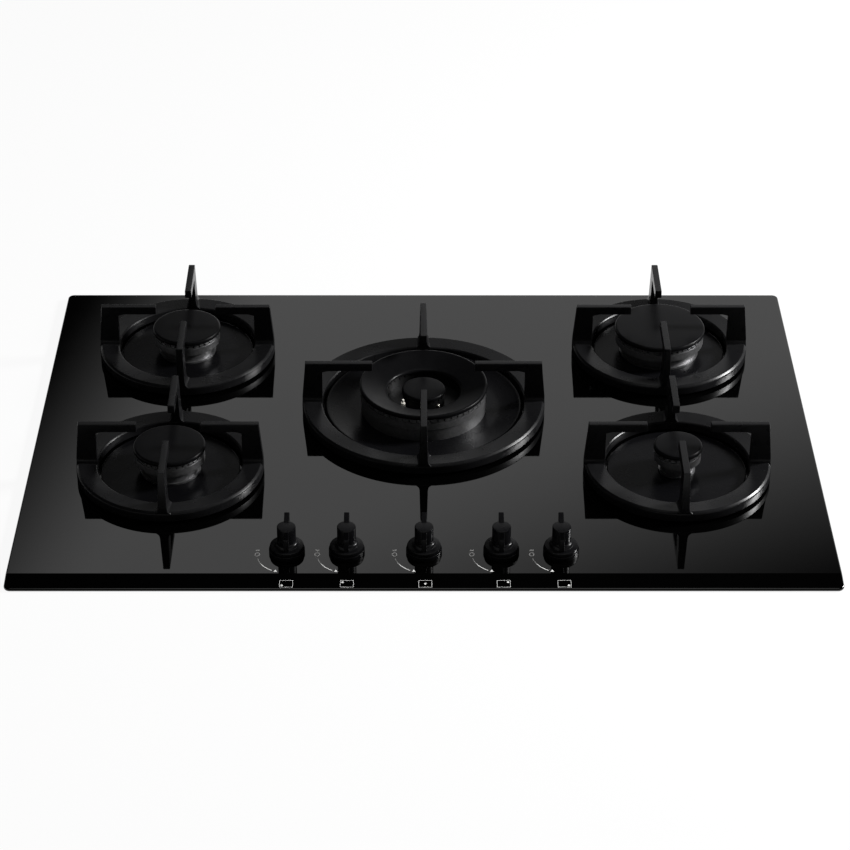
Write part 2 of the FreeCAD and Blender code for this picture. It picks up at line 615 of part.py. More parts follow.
def make_side_crown(name):
    x, y, kind = BURNERS[name]
    crown = f"{kind}_crown_radius"
    skirt = f"{crown} - neck_setback - cup_wall - skirt_gap"
    lip = f"{crown} - crown_lip_setback"
    body = new_body(f"{name}_burner_crown", x, y)
    floor_top = "crown_seat_height + crown_floor"
    revolve(body, "crown", [
        (f"{skirt} - skirt_wall", "crown_seat_height - skirt_length"),
        (skirt, "crown_seat_height - skirt_length"), (skirt, "crown_seat_height"),
        (f"{crown} - crown_foot_bevel", "crown_seat_height"),
        (crown, "crown_seat_height + crown_foot_rise"),
        (crown, "groove_one"), (f"{crown} - groove_depth", "groove_one"),
        (f"{crown} - groove_depth", "groove_one + groove_width"),
        (lip, "groove_one + groove_width"), (lip, "groove_two"),
        (f"{crown} - groove_depth", "groove_two"), (f"{crown} - groove_depth", "groove_two + groove_width"),
        (lip, "groove_two + groove_width"), (lip, "crown_top"),
        (f"{crown} - crown_wall", "crown_top"), (f"{crown} - crown_wall", floor_top),
        (f"{skirt} - skirt_wall", floor_top)])
    slot = draw_outline(body, "port_outline", "YZ_Plane", port_corners("port_bottom"),
                        lift=f"{crown} - crown_wall - port_overcut")
    port = pocket(body, "port", slot, "crown_wall + 2 * port_overcut", reverse=True)
    around(body, "ports", [port], f"{kind}_port_count")
    # Closed tunnels past the gas space for the spark plug and the sensor.
    places = probe_places(name)
    for i, offset in enumerate(places):
        circle = draw_circles(body, f"boss_circle_{i}", "XY_Plane",
                              [(offset[0], offset[1], "notch_radius + tunnel_wall")],
                              lift="crown_seat_height")
        pad(body, f"boss_{i}", circle, "crown_height")
    trim = draw_circles(body, "rim_circles", "XY_Plane",
                        [("0", "0", f"{crown} + trim_reach"), ("0", "0", crown)],
                        lift="crown_seat_height - skirt_length - overcut")
    pocket(body, "rim_trim", trim, "crown_height + skirt_length + 2 * overcut", reverse=True)
    for i, offset in enumerate(places):
        circle = draw_circles(body, f"notch_circle_{i}", "XY_Plane",
                              [(offset[0], offset[1], "notch_radius")],
                              lift="crown_seat_height - overcut")
        pocket(body, f"notch_{i}", circle, "crown_height + 2 * overcut", reverse=True)


def make_side_cap(name):
    x, y, kind = BURNERS[name]
    cap = f"{kind}_cap_radius"
    locating = f"{kind}_crown_radius - crown_wall - skirt_gap - rib_setback"
    body = new_body(f"{name}_burner_cap", x, y)
    revolve(body, "cap", [
        ("0", "crown_top + cap_hollow"), (f"{locating} - rib_width", "crown_top + cap_hollow"),
        (f"{locating} - rib_width", "crown_top - rib_depth"), (locating, "crown_top - rib_depth"),
        (locating, "crown_top"), (f"{cap} - cap_relief", "crown_top"),
        (cap, "crown_top + cap_relief"), (cap, "cap_top - cap_edge - cap_crowning"),
        (f"{cap} - cap_edge_corner", "cap_top - cap_edge_corner - cap_crowning"),
        (f"{cap} - cap_edge", "cap_top - cap_crowning"), ("0", "cap_top")])


def make_wok_cup():
    body = new_body("centre_burner_cup", *BURNERS["centre"][:2])
    crown = "wok_crown_radius - wok_cup_setback"
    revolve(body, "cup", [
        ("jet_radius", "-cup_depth"), ("wok_bowl_radius", "-cup_depth"),
        ("wok_bowl_radius", "plate_thickness"), (crown, "plate_thickness"),
        (crown, "crown_seat_height"), ("wok_cup_bore", "crown_seat_height"),
        ("wok_cup_bore", "plate_thickness + wok_cup_step"),
        ("wok_bowl_radius - cup_wall", "plate_thickness + wok_cup_step"),
        ("wok_bowl_radius - cup_wall", "cup_wall - cup_depth"),
        ("wok_partition_radius", "cup_wall - cup_depth"), ("wok_partition_radius", "wok_plate_level"),
        ("wok_partition_bore", "wok_plate_level"),
        ("wok_partition_bore", "cup_wall - cup_depth"), ("jet_radius", "cup_wall - cup_depth")])
    places = probe_places("centre")
    boss_circles = [(a, b, "plug_radius + probe_gap + probe_boss_wall") for a, b in places]
    bosses = draw_circles(body, "probe_boss_circles", "XY_Plane", boss_circles, lift="-cup_depth")
    pad(body, "probe_bosses", bosses, "cup_depth + wok_plate_level - skirt_gap")
    bores = [(places[0][0], places[0][1], "plug_radius + probe_gap"),
             (places[1][0], places[1][1], "sensor_radius + probe_gap")]
    holes = draw_circles(body, "probe_bore_circles", "XY_Plane", bores, lift="-cup_depth")
    pocket(body, "probe_bores", holes, "cup_depth + crown_seat_height", reverse=True)


def make_wok_crown():
    body = new_body("centre_burner_crown", *BURNERS["centre"][:2])
    crown = "wok_crown_radius"
    inner = "wok_inner_crown_radius"
    fit = "wok_cup_bore - skirt_gap"
    skirt = "(wok_partition_bore - skirt_gap)"
    wall = "wok_ring_wall_radius"
    revolve(body, "crown", [
        (f"{skirt} - skirt_wall", "0"), (skirt, "0"), (skirt, "wok_plate_level"),
        (fit, "wok_plate_level"), (fit, "crown_seat_height"),
        (f"{crown} - crown_foot_rise", "crown_seat_height"),
        (crown, "crown_seat_height + crown_foot_rise"), (crown, "wok_crown_top - wok_groove_low"),
        (f"{crown} - groove_depth", "wok_crown_top - wok_groove_low"),
        (f"{crown} - groove_depth", "wok_crown_top - wok_groove_high"),
        (crown, "wok_crown_top - wok_groove_high"),
        (crown, "wok_crown_top"), ("wok_channel_radius", "wok_crown_top"),
        ("wok_channel_radius", "wok_floor_top"), (f"{wall} + wok_inner_wall", "wok_floor_top"),
        (f"{wall} + wok_inner_wall", "wok_inner_wall_top"), (wall, "wok_inner_wall_top"),
        (wall, "wok_floor_top"), (inner, "wok_floor_top"), (inner, "wok_inner_top"),
        (f"{inner} - wok_inner_pot_wall", "wok_inner_top"),
        (f"{inner} - wok_inner_pot_wall", "wok_floor_top"), (f"{skirt} - skirt_wall", "wok_floor_top")])
    gas_circle = draw_circles(body, "gas_hole_circle", "XY_Plane",
                              [(f"({wall} + wok_inner_wall + wok_channel_radius) / 2", "0",
                                "wok_gas_hole_radius")], lift="wok_plate_level")
    gas_hole = pocket(body, "gas_hole", gas_circle, "wok_floor", reverse=True)
    around(body, "gas_holes", [gas_hole], "wok_gas_hole_count")
    inside = f"{inner} - wok_inner_pot_wall - port_overcut"
    for ring, start, length, level, count in (
            ("outer", "wok_channel_radius - port_overcut", "wok_outer_wall + 2 * port_overcut",
             "wok_crown_top - wok_port_cover - port_height", "wok_port_count"),
            ("middle", f"{wall} - port_overcut", "wok_inner_wall + 2 * port_overcut",
             "wok_inner_wall_top - wok_port_cover - port_height", "wok_middle_port_count"),
            ("inner", inside, "wok_inner_pot_wall + 2 * port_overcut",
             "wok_inner_top - wok_port_cover - port_height", "wok_inner_port_count")):
        slot = draw_outline(body, f"{ring}_port_outline", "YZ_Plane", port_corners(level), lift=start)
        port = pocket(body, f"{ring}_port", slot, length, reverse=True)
        around(body, f"{ring}_ports", [port], count)
    places = [(a, b, "notch_radius") for a, b in probe_places("centre")]
    circles = draw_circles(body, "moat_hole_circles", "XY_Plane", places, lift="wok_plate_level - overcut")
    pocket(body, "moat_holes", circles, "wok_floor + 2 * overcut", reverse=True)


def make_wok_caps():
    body = new_body("centre_burner_cap", *BURNERS["centre"][:2])
    outer = "wok_cap_radius"
    hole = "wok_cap_hole_radius"
    low = "wok_crown_top"
    high = "wok_crown_top + wok_cap_thickness"
    lip_low = "wok_inner_wall_top"
    lip_high = "wok_inner_wall_top + wok_lip_thickness"
    rib = "wok_ring_wall_radius + wok_inner_wall + skirt_gap"
    # The top falls towards the hole, and its underside follows it between the two seats.
    revolve(body, "cap", [
        (f"{hole} + cap_relief", lip_low), (rib, lip_low), (rib, f"{lip_low} - rib_depth"),
        (f"{rib} + rib_width", f"{lip_low} - rib_depth"), (f"{rib} + rib_width", lip_low),
        ("wok_channel_radius - cap_relief", low), (f"{outer} - cap_relief", low),
        (outer, f"{low} + cap_relief"), (outer, f"{high} - cap_edge"),
        (f"{outer} - cap_edge_corner", f"{high} - cap_edge_corner"), (f"{outer} - cap_edge", high),
        (f"{hole} + cap_edge", lip_high), (f"{hole} + cap_edge_corner", f"{lip_high} - cap_edge_corner"),
        (hole, f"{lip_high} - cap_edge"), (hole, f"{lip_low} + cap_relief")])
    small = new_body("centre_inner_cap", *BURNERS["centre"][:2])
    cap = "wok_inner_cap_radius"
    locating = "wok_inner_crown_radius - wok_inner_pot_wall - skirt_gap"
    low = "wok_inner_top"
    high = "wok_inner_top + wok_inner_cap_thickness"
    revolve(small, "inner_cap", [
        ("0", f"{low} + small_cap_hollow"), (f"{locating} - rib_width", f"{low} + small_cap_hollow"),
        (f"{locating} - rib_width", f"{low} - rib_depth"), (locating, f"{low} - rib_depth"),
        (locating, low), (f"{cap} - cap_relief", low),
        (cap, f"{low} + cap_relief"), (cap, f"{high} - cap_edge - cap_crowning"),
        (f"{cap} - cap_edge_corner", f"{high} - cap_edge_corner - cap_crowning"),
        (f"{cap} - cap_edge", f"{high} - cap_crowning"), ("0", high)])


# ----------------------------------------------- spark plugs, sensors, jets

def make_probes():
    plugs = []
    sensors = []
    for name in BURNERS:
        seat = "-cup_depth" if name == "centre" else "plate_thickness"
        (plug_x, plug_y), (sensor_x, sensor_y) = (at(name, p) for p in probe_places(name))
        base = f"glass_top_z + {seat} - collar_length"
        foot = base if name == "centre" else "glass_top_z - plug_bottom"
        parts = [
            cylinder(f"{name}_plug_ceramic", "plug_radius",
                     f"glass_top_z + plug_neck_bottom - ({foot})", plug_x, plug_y, foot),
            cylinder(f"{name}_plug_neck", "plug_neck_radius", "plug_top - plug_neck_bottom + tip_root",
                     plug_x, plug_y, "glass_top_z + plug_neck_bottom - tip_root"),
            cylinder(f"{name}_plug_collar", "plug_collar_radius", "collar_length",
                     plug_x, plug_y, base),
            cylinder(f"{name}_plug_tip", "plug_tip_radius", "plug_tip_top - plug_top + tip_root",
                     plug_x, plug_y, "glass_top_z + plug_top - tip_root")]
        plugs.append(fuse(f"{name}_plug", *parts))
        foot = base if name == "centre" else "glass_top_z - sensor_bottom"
        parts = [
            cylinder(f"{name}_sensor_rod", "sensor_radius",
                     f"glass_top_z + sensor_top - sensor_radius - ({foot})",
                     sensor_x, sensor_y, foot),
            cylinder(f"{name}_sensor_collar", "sensor_collar_radius", "collar_length",
                     sensor_x, sensor_y, base)]
        tip = doc.addObject("Part::Sphere", f"{name}_sensor_tip")
        bind(tip, "Radius", "sensor_radius")
        place(tip, sensor_x, sensor_y, "glass_top_z + sensor_top - sensor_radius")
        sensors.append(fuse(f"{name}_sensor", *parts, tip))
    group("spark_plugs", plugs)
    group("thermocouples", sensors)


def make_injector_holders():
    holders = []
    for name, (x, y, kind) in BURNERS.items():
        block = box(f"{name}_holder_block", "holder_width", "holder_width", "holder_height",
                    x, y, "holder_bottom")
        jet = cylinder(f"{name}_jet", "jet_radius - jet_gap", "holder_height + cup_wall + holder_jet_rise",
                       x, y, "holder_bottom")
        bore = cylinder(f"{name}_jet_bore", "jet_bore_radius", "jet_bore_depth", x, y,
                        "holder_bottom + holder_height / 2")
        holders.append(cut(f"{name}_holder", fuse(f"{name}_holder_solid", block, jet), bore))
    group("injector_holders", holders)


# ---------------------------------------------------------- knobs and taps

def make_knob(name):
    body = new_body(f"{name}_knob", KNOBS[name], "knob_y")
    revolve(body, "turned_knob", [
        ("spindle_radius", "skirt_bottom"), ("skirt_radius", "skirt_bottom"),
        ("skirt_radius", "skirt_top - skirt_rounding"),
        ("skirt_radius - skirt_rounding", "skirt_top"), ("neck_ring_radius", "skirt_top + skirt_crown"),
        ("neck_ring_radius - neck_ring_lean", "skirt_top + neck_ring_rise"),
        ("knob_radius + neck_ring_step", "neck_ring_top"),
        ("knob_radius", "neck_ring_top"), ("knob_radius", "knob_height - knob_rounding"),
        ("knob_radius - knob_rounding", "knob_height"), ("0", "knob_height"),
        ("0", "spindle_top"), ("spindle_radius", "spindle_top")])
    front = draw_outline(body, "front_grip_outline", "YZ_Plane", [
        ("-grip_front", "skirt_top - grip_sink"), ("-grip_front", "grip_front_height"),
        ("-knob_radius + grip_overlap", "knob_height - grip_front_join"),
        ("-knob_radius + grip_overlap", "skirt_top - grip_sink")])
    pad(body, "front_grip", front, "grip_thickness", both_sides=True)
    rear = draw_outline(body, "rear_grip_outline", "YZ_Plane", [
        ("grip_shoulder", "skirt_top - grip_sink"), ("grip_shoulder", "knob_height - grip_sink"),
        ("knob_radius", "knob_height + grip_rear_rise"), ("grip_rear_tip", "grip_rear_height"),
        ("grip_rear_tip + grip_tip_lean", "grip_rear_height - grip_tip_drop"),
        ("grip_rear", "skirt_top - grip_sink")])
    pad(body, "rear_grip", rear, "grip_thickness", both_sides=True)


def make_bezels():
    bezels = []
    for name, x in KNOBS.items():
        outer = cylinder(f"{name}_bezel_outer", "bezel_radius", "bezel_height", x, "knob_y",
                         "glass_top_z")
        dish = cylinder(f"{name}_bezel_dish", "bezel_bore", "bezel_height", x, "knob_y",
                        "glass_top_z + bezel_floor")
        hole = cylinder(f"{name}_bezel_hole", "spindle_hole_radius", "bezel_height + 2 * overcut",
                        x, "knob_y", "glass_top_z - overcut")
        bezels.append(cut(f"{name}_bezel", outer, fuse(f"{name}_bezel_hollow", dish, hole)))
    group("knob_bezels", bezels)


def make_spindle(name):
    body = new_body(f"{name}_tap_spindle", KNOBS[name], "knob_y")
    revolve(body, "turned_spindle", [
        ("0", "-spindle_bottom"), ("spindle_radius", "-spindle_bottom"),
        ("spindle_radius", "slider_top"), ("shoulder_radius", "slider_top"),
        ("shoulder_radius", "shoulder_top"), ("spindle_radius", "shoulder_top"),
        ("spindle_radius", "spindle_top"), ("0", "spindle_top")])


def make_slider(name):
    body = new_body(f"{name}_switch_slider", KNOBS[name], "knob_y")
    revolve(body, "turned_slider", [
        ("spindle_radius + running_gap", "slider_bottom"), ("slider_radius", "slider_bottom"),
        ("slider_radius", "slider_top"), ("spindle_radius + running_gap", "slider_top")])


def make_taps():
    taps = []
    switches = []
    for name, x in KNOBS.items():
        block = box(f"{name}_tap_block", "tap_width", "tap_length", "tap_height", x, "knob_y",
                    "tap_block_bottom")
        neck = cylinder(f"{name}_tap_neck", "tap_neck_radius",
                        "glass_top_z - shoulder_depth - tap_neck_gap - tap_block_bottom", x, "knob_y",
                        "tap_block_bottom")
        depth = "glass_top_z + slider_bottom - knob_travel - tap_bore_spare"
        slider_bore = cylinder(f"{name}_slider_bore", "slider_radius + running_gap", "slider_bore_depth",
                               x, "knob_y", depth)
        stem_bore = cylinder(f"{name}_stem_bore", "spindle_radius + running_gap", "stem_bore_depth",
                             x, "knob_y",
                             "glass_top_z - spindle_bottom - knob_travel - tap_bore_spare")
        solid = fuse(f"{name}_tap_solid", block, neck)
        bores = fuse(f"{name}_tap_bores", slider_bore, stem_bore)
        taps.append(cut(f"{name}_tap", solid, bores))
        switches.append(box(f"{name}_switch", "switch_width", "switch_length", "switch_height",
                            f"{x} + tap_width / 2 + switch_width / 2", "knob_y",
                            "tap_block_bottom + switch_rise"))
    group("gas_taps", taps)
    group("ignition_switches", switches)


# ------------------------------------------------------------- gas way

def arc_path(points, radius):
    """Straight runs joined by tangent arcs; points are in one level plane."""
    edges = []
    start = points[0]
    for before, corner, after in zip(points, points[1:], points[2:]):
        back = (before - corner).normalize()
        ahead = (after - corner).normalize()
        half_turn = back.getAngle(ahead) / 2
        reach = radius / math.tan(half_turn)
        enter = corner + back * reach
        leave = corner + ahead * reach
        middle_way = (back + ahead).normalize()
        centre = corner + middle_way * (radius / math.sin(half_turn))
        middle = centre - middle_way * radius
        edges.append(Part.LineSegment(start, enter).toShape())
        edges.append(Part.Arc(enter, middle, leave).toShape())
        start = leave
    edges.append(Part.LineSegment(start, points[-1]).toShape())
    return Part.Wire(edges)


def tube(points, outer_radius, bore_radius, bend_radius):
    """A round tube along straight runs and arcs."""
    path = arc_path(points, bend_radius)
    direction = points[1] - points[0]
    rings = []
    for radius in (outer_radius, bore_radius):
        circle = Part.Wire([Part.makeCircle(radius, points[0], direction)])
        rings.append(path.makePipeShell([circle], True, True))
    return rings[0].cut(rings[1])


def level_points(places, height):
    return [FreeCAD.Vector(size_of(x), size_of(y), size_of(height)) for x, y in places]


def make_gas_pipes():
    tap_back = "knob_y + tap_length / 2"
    pipes = []
    for name, (x, y, kind) in BURNERS.items():
        knob_x = KNOBS[name]
        sign = "-" if x == "-side_x" else ""
        front_face = f"{y} - holder_width / 2"
        if name == "centre":
            route = [(knob_x, tap_back), ("0", front_face)]
        elif y == "front_y":
            route = [(knob_x, tap_back), (knob_x, "front_pipe_turn_y"), (x, "front_pipe_turn_y"),
                     (x, front_face)]
        else:
            lane = f"{sign}rear_pipe_lane_x"
            holder_side = f"{sign}(side_x - holder_width / 2)"
            route = [(knob_x, tap_back), (knob_x, "rear_pipe_turn_y"), (lane, "rear_pipe_turn_y"),
                     (lane, y), (holder_side, y)]
        pipes.append(tube(level_points(route, "pipe_height"), size_of("pipe_radius"),
                          size_of("pipe_bore_radius"), size_of("pipe_bend")))
    feature = doc.addObject("Part::Feature", "gas_pipes")
    feature.Shape = Part.makeCompound(pipes)
    keep(feature, "gas_pipes")


def make_gas_manifold():
    route = [("-outer_knob_x - rail_overhang", "knob_y"), ("rail_side_x", "knob_y"),
             ("rail_side_x", "box_depth / 2 - box_wall - inlet_width")]
    rail = tube(level_points(route, "rail_centre"), size_of("rail_radius"),
                size_of("rail_bore_radius"), size_of("rail_bend"))
    end = FreeCAD.Vector(*[size_of(a) for a in ("-outer_knob_x - rail_overhang", "knob_y", "rail_centre")])
    plug = Part.makeCylinder(size_of("rail_radius"), size_of("box_wall") * 2, end,
                             FreeCAD.Vector(-1, 0, 0))
    feature = doc.addObject("Part::Feature", "gas_manifold")
    feature.Shape = rail.fuse(plug).removeSplitter()
    keep(feature, "gas_manifold")


def lying_cylinder(name, radius, length, x, y, z):
    """A cylinder lying along +Y from its given end."""
    shape = cylinder(name, radius, length, x, y, z)
    turn_about(shape, FreeCAD.Vector(1, 0, 0), -90)
    return shape


def make_gas_inlet():
    """A block on the rail, and a thread with a narrower neck where it leaves the box."""
    inner_face = "box_depth / 2 - box_wall"
    outer_face = "box_depth / 2"
    block = box("inlet_block", "inlet_width", "inlet_width", "inlet_height - box_wall",
                "rail_side_x", f"{inner_face} - inlet_width / 2", "box_wall")
    neck = lying_cylinder("inlet_neck", "inlet_relief_radius",
                          "box_wall + inlet_relief_length + 2 * overcut",
                          "rail_side_x", f"{inner_face} - overcut", "inlet_height_centre")
    thread = lying_cylinder("inlet_thread", "inlet_thread_radius", "inlet_thread_length",
                            "rail_side_x", f"{outer_face} + inlet_relief_length", "inlet_height_centre")
    way = lying_cylinder("inlet_way", "inlet_bore_radius", "inlet_thread_length + way_spare",
                         "rail_side_x", f"{inner_face} - inlet_width / 2", "inlet_height_centre")
    keep(cut("gas_inlet", fuse("inlet_solid", block, neck, thread), way), "gas_inlet")


def make_mains_gland():
    rear = "box_depth / 2"
    body = lying_cylinder("gland_body", "gland_radius", "gland_length + gland_nut_length + box_wall",
                          "gland_x", f"{rear} - box_wall - gland_nut_length", "gland_height_centre")
    nut = lying_cylinder("gland_nut", "gland_nut_radius", "gland_nut_length", "gland_x",
                         f"{rear} - box_wall - gland_nut_length", "gland_height_centre")
    ring = lying_cylinder("gland_ring", "gland_nut_radius", "gland_length / 2", "gland_x", rear,
                          "gland_height_centre")
    way = lying_cylinder("gland_way", "gland_bore_radius", "gland_length + way_spare", "gland_x",
                         f"{rear} - box_wall - gland_nut_length - overcut", "gland_height_centre")
    keep(cut("mains_gland", fuse("gland_solid", body, nut, ring), way), "mains_gland")


def make_ignition_generator():
    body = new_body("ignition_generator", "generator_x", "generator_y", "box_wall")
    outline = draw_outline(body, "generator_outline", "XY_Plane",
                           rectangle("generator_width / 2", "generator_length / 2"))
    pad(body, "generator_case", outline, "generator_height")
    round_uprights(body, "generator_corners", "generator_corner")
    towers = draw_circles(body, "terminal_circles", "XY_Plane",
                          [(f"generator_width * ({i + 1} / (terminal_count + 1) - 1 / 2)",
                            "generator_length / 4", "terminal_radius")
                           for i in range(round(size_of("terminal_count")))],
                          lift="generator_height")
    pad(body, "terminals", towers, "terminal_height")


def make_fixings():
    clamps = []
    screws = []
    for side in ("", "-"):
        for end in ("", "-"):
            tag = f"{'left' if side else 'right'}_{'front' if end else 'rear'}"
            wall = f"{side}(box_width / 2 + clamp_steel / 2)"
            y = f"{end}clamp_y"
            tab = box(f"{tag}_clamp_tab", "clamp_steel", "clamp_width",
                      "clamp_screw_height + clamp_tab_rise - worktop_bottom + clamp_steel",
                      wall, y, "worktop_bottom - clamp_steel")
            toe = box(f"{tag}_clamp_toe", "clamp_reach", "clamp_width", "clamp_steel",
                      f"{side}(box_width / 2 + clamp_reach / 2)", y, "worktop_bottom - clamp_steel")
            hole = cylinder(f"{tag}_clamp_hole", "clamp_hole_radius", "clamp_steel + 2 * overcut",
                            f"{side}(box_width / 2 - overcut)", y, "clamp_screw_height")
            turn = 90 if not side else -90
            turn_about(hole, FreeCAD.Vector(0, 1, 0), turn)
            clamps.append(cut(f"{tag}_clamp", fuse(f"{tag}_clamp_solid", tab, toe), hole))
            shank = cylinder(f"{tag}_screw_shank", "screw_radius", "screw_length + clamp_steel",
                             f"{side}(box_width / 2 - screw_length)", y, "clamp_screw_height")
            head = cylinder(f"{tag}_screw_head", "screw_head_radius", "screw_head_height",
                            f"{side}(box_width / 2 + clamp_steel)", y, "clamp_screw_height")
            for piece in (shank, head):
                turn_about(piece, FreeCAD.Vector(0, 1, 0), turn)
            screws.append(fuse(f"{tag}_screw", shank, head))
    group("fixing_clamps", clamps)
    group("fixing_screws", screws)


# ------------------------------------------------------------- assembly

make_glass()
make_seal()
make_burner_box()
for burner in BURNERS:
    make_pan_support(burner)
    make_support_feet(burner)
make_drip_plates()
for burner in SIDE_BURNERS:
    make_side_cup(burner)
    make_side_crown(burner)
    make_side_cap(burner)
make_wok_cup()
make_wok_crown()
make_wok_caps()
make_probes()
make_injector_holders()
for burner in KNOBS:
    make_knob(burner)
    make_spindle(burner)
    make_slider(burner)
make_bezels()
make_taps()
make_gas_pipes()
make_gas_manifold()
make_gas_inlet()
make_mains_gland()
make_ignition_generator()
make_fixings()

doc.recompute()
for thing in doc.Objects:
    if "Invalid" in thing.State or "Error" in thing.State:
        raise RuntimeError(f"{thing.Name} did not recompute: {thing.State}")

os.makedirs("parts", exist_ok=True)
for thing in node_objects:
    shape = thing.Shape
    if shape.isNull() or not shape.isValid():
        raise RuntimeError(f"{thing.Label}: the shape is not sound")
    shape.exportStep(f"parts/{thing.Label}.step")
    print(f"{thing.Label}: {len(shape.Solids)} solids, {shape.Volume / 1000:.2f} cm3")
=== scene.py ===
import math

import bmesh
import bpy
from bpy.props import FloatProperty, FloatVectorProperty, IntProperty, PointerProperty
from mathutils import Matrix, Vector


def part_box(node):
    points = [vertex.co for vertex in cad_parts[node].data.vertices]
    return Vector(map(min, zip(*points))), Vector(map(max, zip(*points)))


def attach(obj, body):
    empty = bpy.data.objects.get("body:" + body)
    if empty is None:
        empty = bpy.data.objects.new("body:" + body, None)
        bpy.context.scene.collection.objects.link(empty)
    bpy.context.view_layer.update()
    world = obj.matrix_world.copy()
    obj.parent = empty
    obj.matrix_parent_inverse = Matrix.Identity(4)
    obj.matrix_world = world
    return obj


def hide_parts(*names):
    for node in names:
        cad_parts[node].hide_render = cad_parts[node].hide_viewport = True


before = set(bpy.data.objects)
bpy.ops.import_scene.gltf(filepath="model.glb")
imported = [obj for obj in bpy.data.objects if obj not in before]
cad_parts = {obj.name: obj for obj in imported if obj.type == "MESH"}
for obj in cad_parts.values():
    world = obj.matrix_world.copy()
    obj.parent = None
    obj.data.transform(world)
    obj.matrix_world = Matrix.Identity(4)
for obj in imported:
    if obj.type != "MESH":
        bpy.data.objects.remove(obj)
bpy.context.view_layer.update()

bl_info = {
    "name": "Gas cooktop",
    "version": (1, 0, 0),
    "blender": (4, 5, 0),
    "location": "View3D > Sidebar > Cooktop",
    "description": "Builds the visible pieces of a five-burner gas cooktop round its CAD frame",
    "category": "Object",
}

MM = 0.001
BURNERS = ("front_left", "rear_left", "centre", "rear_right", "front_right")
SIDE_BURNERS = ("front_left", "rear_left", "rear_right", "front_right")

# Millimetres that several pieces share, as the frame has them.
WOK_BORE = 53.5         # radius of the hole for the wok burner's cup
HOLE_SET_IN = 8         # from the rim of a side burner's cup or cap in to the hole under it
SPINDLE_BORE = 6.5      # radius of the hole for a knob's spindle
PLATE_THICKNESS = 2     # of the drip plates where they lie on the glass
CAP_RIB = 2             # depth of the rib under a cap that keeps it in its place


# ------------------------------------------------------------ places

def box_mm(node):
    """A CAD node's lowest and highest corners in millimetres."""
    low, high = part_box(node)
    return low / MM, high / MM


def middle(node):
    """The centre of a CAD node in plan."""
    low, high = box_mm(node)
    return (low.x + high.x) / 2, (low.y + high.y) / 2


GLASS_LOW, GLASS_HIGH = box_mm("glass_top")
GLASS_TOP = GLASS_HIGH.z
HEAD_PLACES = {name: middle(f"{name}_burner_cap") for name in BURNERS}
KNOB_PLACES = {name: (middle(f"{name}_knob")[0], middle(f"{name}_switch_slider")[1]) for name in BURNERS}


# ------------------------------------------------------------ modelling

def nothing_selected():
    """Leave edit mode and deselect every object."""
    if bpy.context.object and bpy.context.object.mode != "OBJECT":
        bpy.ops.object.mode_set(mode="OBJECT")
    bpy.ops.object.select_all(action="DESELECT")


def only(piece):
    """Select one piece alone and make it active."""
    nothing_selected()
    piece.select_set(True)
    bpy.context.view_layer.objects.active = piece
    return piece


def added(name):
    """Name the primitive that was just added, and put its place in its mesh."""
    piece = bpy.context.active_object
    piece.name = piece.data.name = name
    bpy.ops.object.transform_apply(location=True, rotation=True, scale=True)
    return piece


def add_block(name, low, high):
    """A block between two corners in millimetres."""
    nothing_selected()
    centre = [(a + b) / 2 * MM for a, b in zip(low, high)]
    bpy.ops.mesh.primitive_cube_add(size=1, location=centre)
    bpy.context.active_object.scale = [(b - a) * MM for a, b in zip(low, high)]
    return added(name)


def add_rod(name, radius, low, high, centre, steps):
    """An upright rod between two heights in millimetres."""
    nothing_selected()
    bpy.ops.mesh.primitive_cylinder_add(
        vertices=steps, radius=radius * MM, depth=(high - low) * MM,
        location=(centre[0] * MM, centre[1] * MM, (low + high) / 2 * MM))
    return added(name)


def edit(piece, kind="VERT"):
    """Go into edit mode with nothing selected."""
    only(piece)
    bpy.ops.object.mode_set(mode="EDIT")
    bpy.ops.mesh.select_mode(type=kind)
    bpy.ops.mesh.select_all(action="DESELECT")


def pick(piece, wanted, kind="VERT"):
    """In edit mode, select what passes a test on its centre in millimetres and its normal."""
    bpy.ops.mesh.select_mode(type=kind)
    bpy.ops.mesh.select_all(action="DESELECT")
    mesh = bmesh.from_edit_mesh(piece.data)
    chosen = 0
    for part in {"VERT": mesh.verts, "EDGE": mesh.edges, "FACE": mesh.faces}[kind]:
        if kind == "VERT":
            place, normal = part.co, part.normal
        elif kind == "FACE":
            place, normal = part.calc_center_median(), part.normal
        else:
            place = (part.verts[0].co + part.verts[1].co) / 2
            normal = (part.verts[1].co - part.verts[0].co).normalized()
        if wanted(place / MM, normal):
            part.select_set(True)
            chosen += 1
    mesh.select_flush_mode()
    bmesh.update_edit_mesh(piece.data)
    if not chosen:
        raise RuntimeError(f"{piece.name}: nothing to select")


def scale_about(factors, centre):
    """In edit mode, scale what is selected about a point in millimetres."""
    bpy.ops.transform.resize(value=factors, center_override=[c * MM for c in centre])


def cut_level(place, normal):
    """Bisect everything in edit mode by a plane, keeping both sides."""
    bpy.ops.mesh.select_all(action="SELECT")
    bpy.ops.mesh.bisect(plane_co=[c * MM for c in place], plane_no=normal)


def tidy_normals(piece, merge=0.02):
    """Merge doubles closer than some millimetres and turn every face outwards."""
    edit(piece)
    bpy.ops.mesh.select_all(action="SELECT")
    bpy.ops.mesh.remove_doubles(threshold=merge * MM)
    bpy.ops.mesh.normals_make_consistent(inside=False)
    bpy.ops.object.mode_set(mode="OBJECT")
    return piece


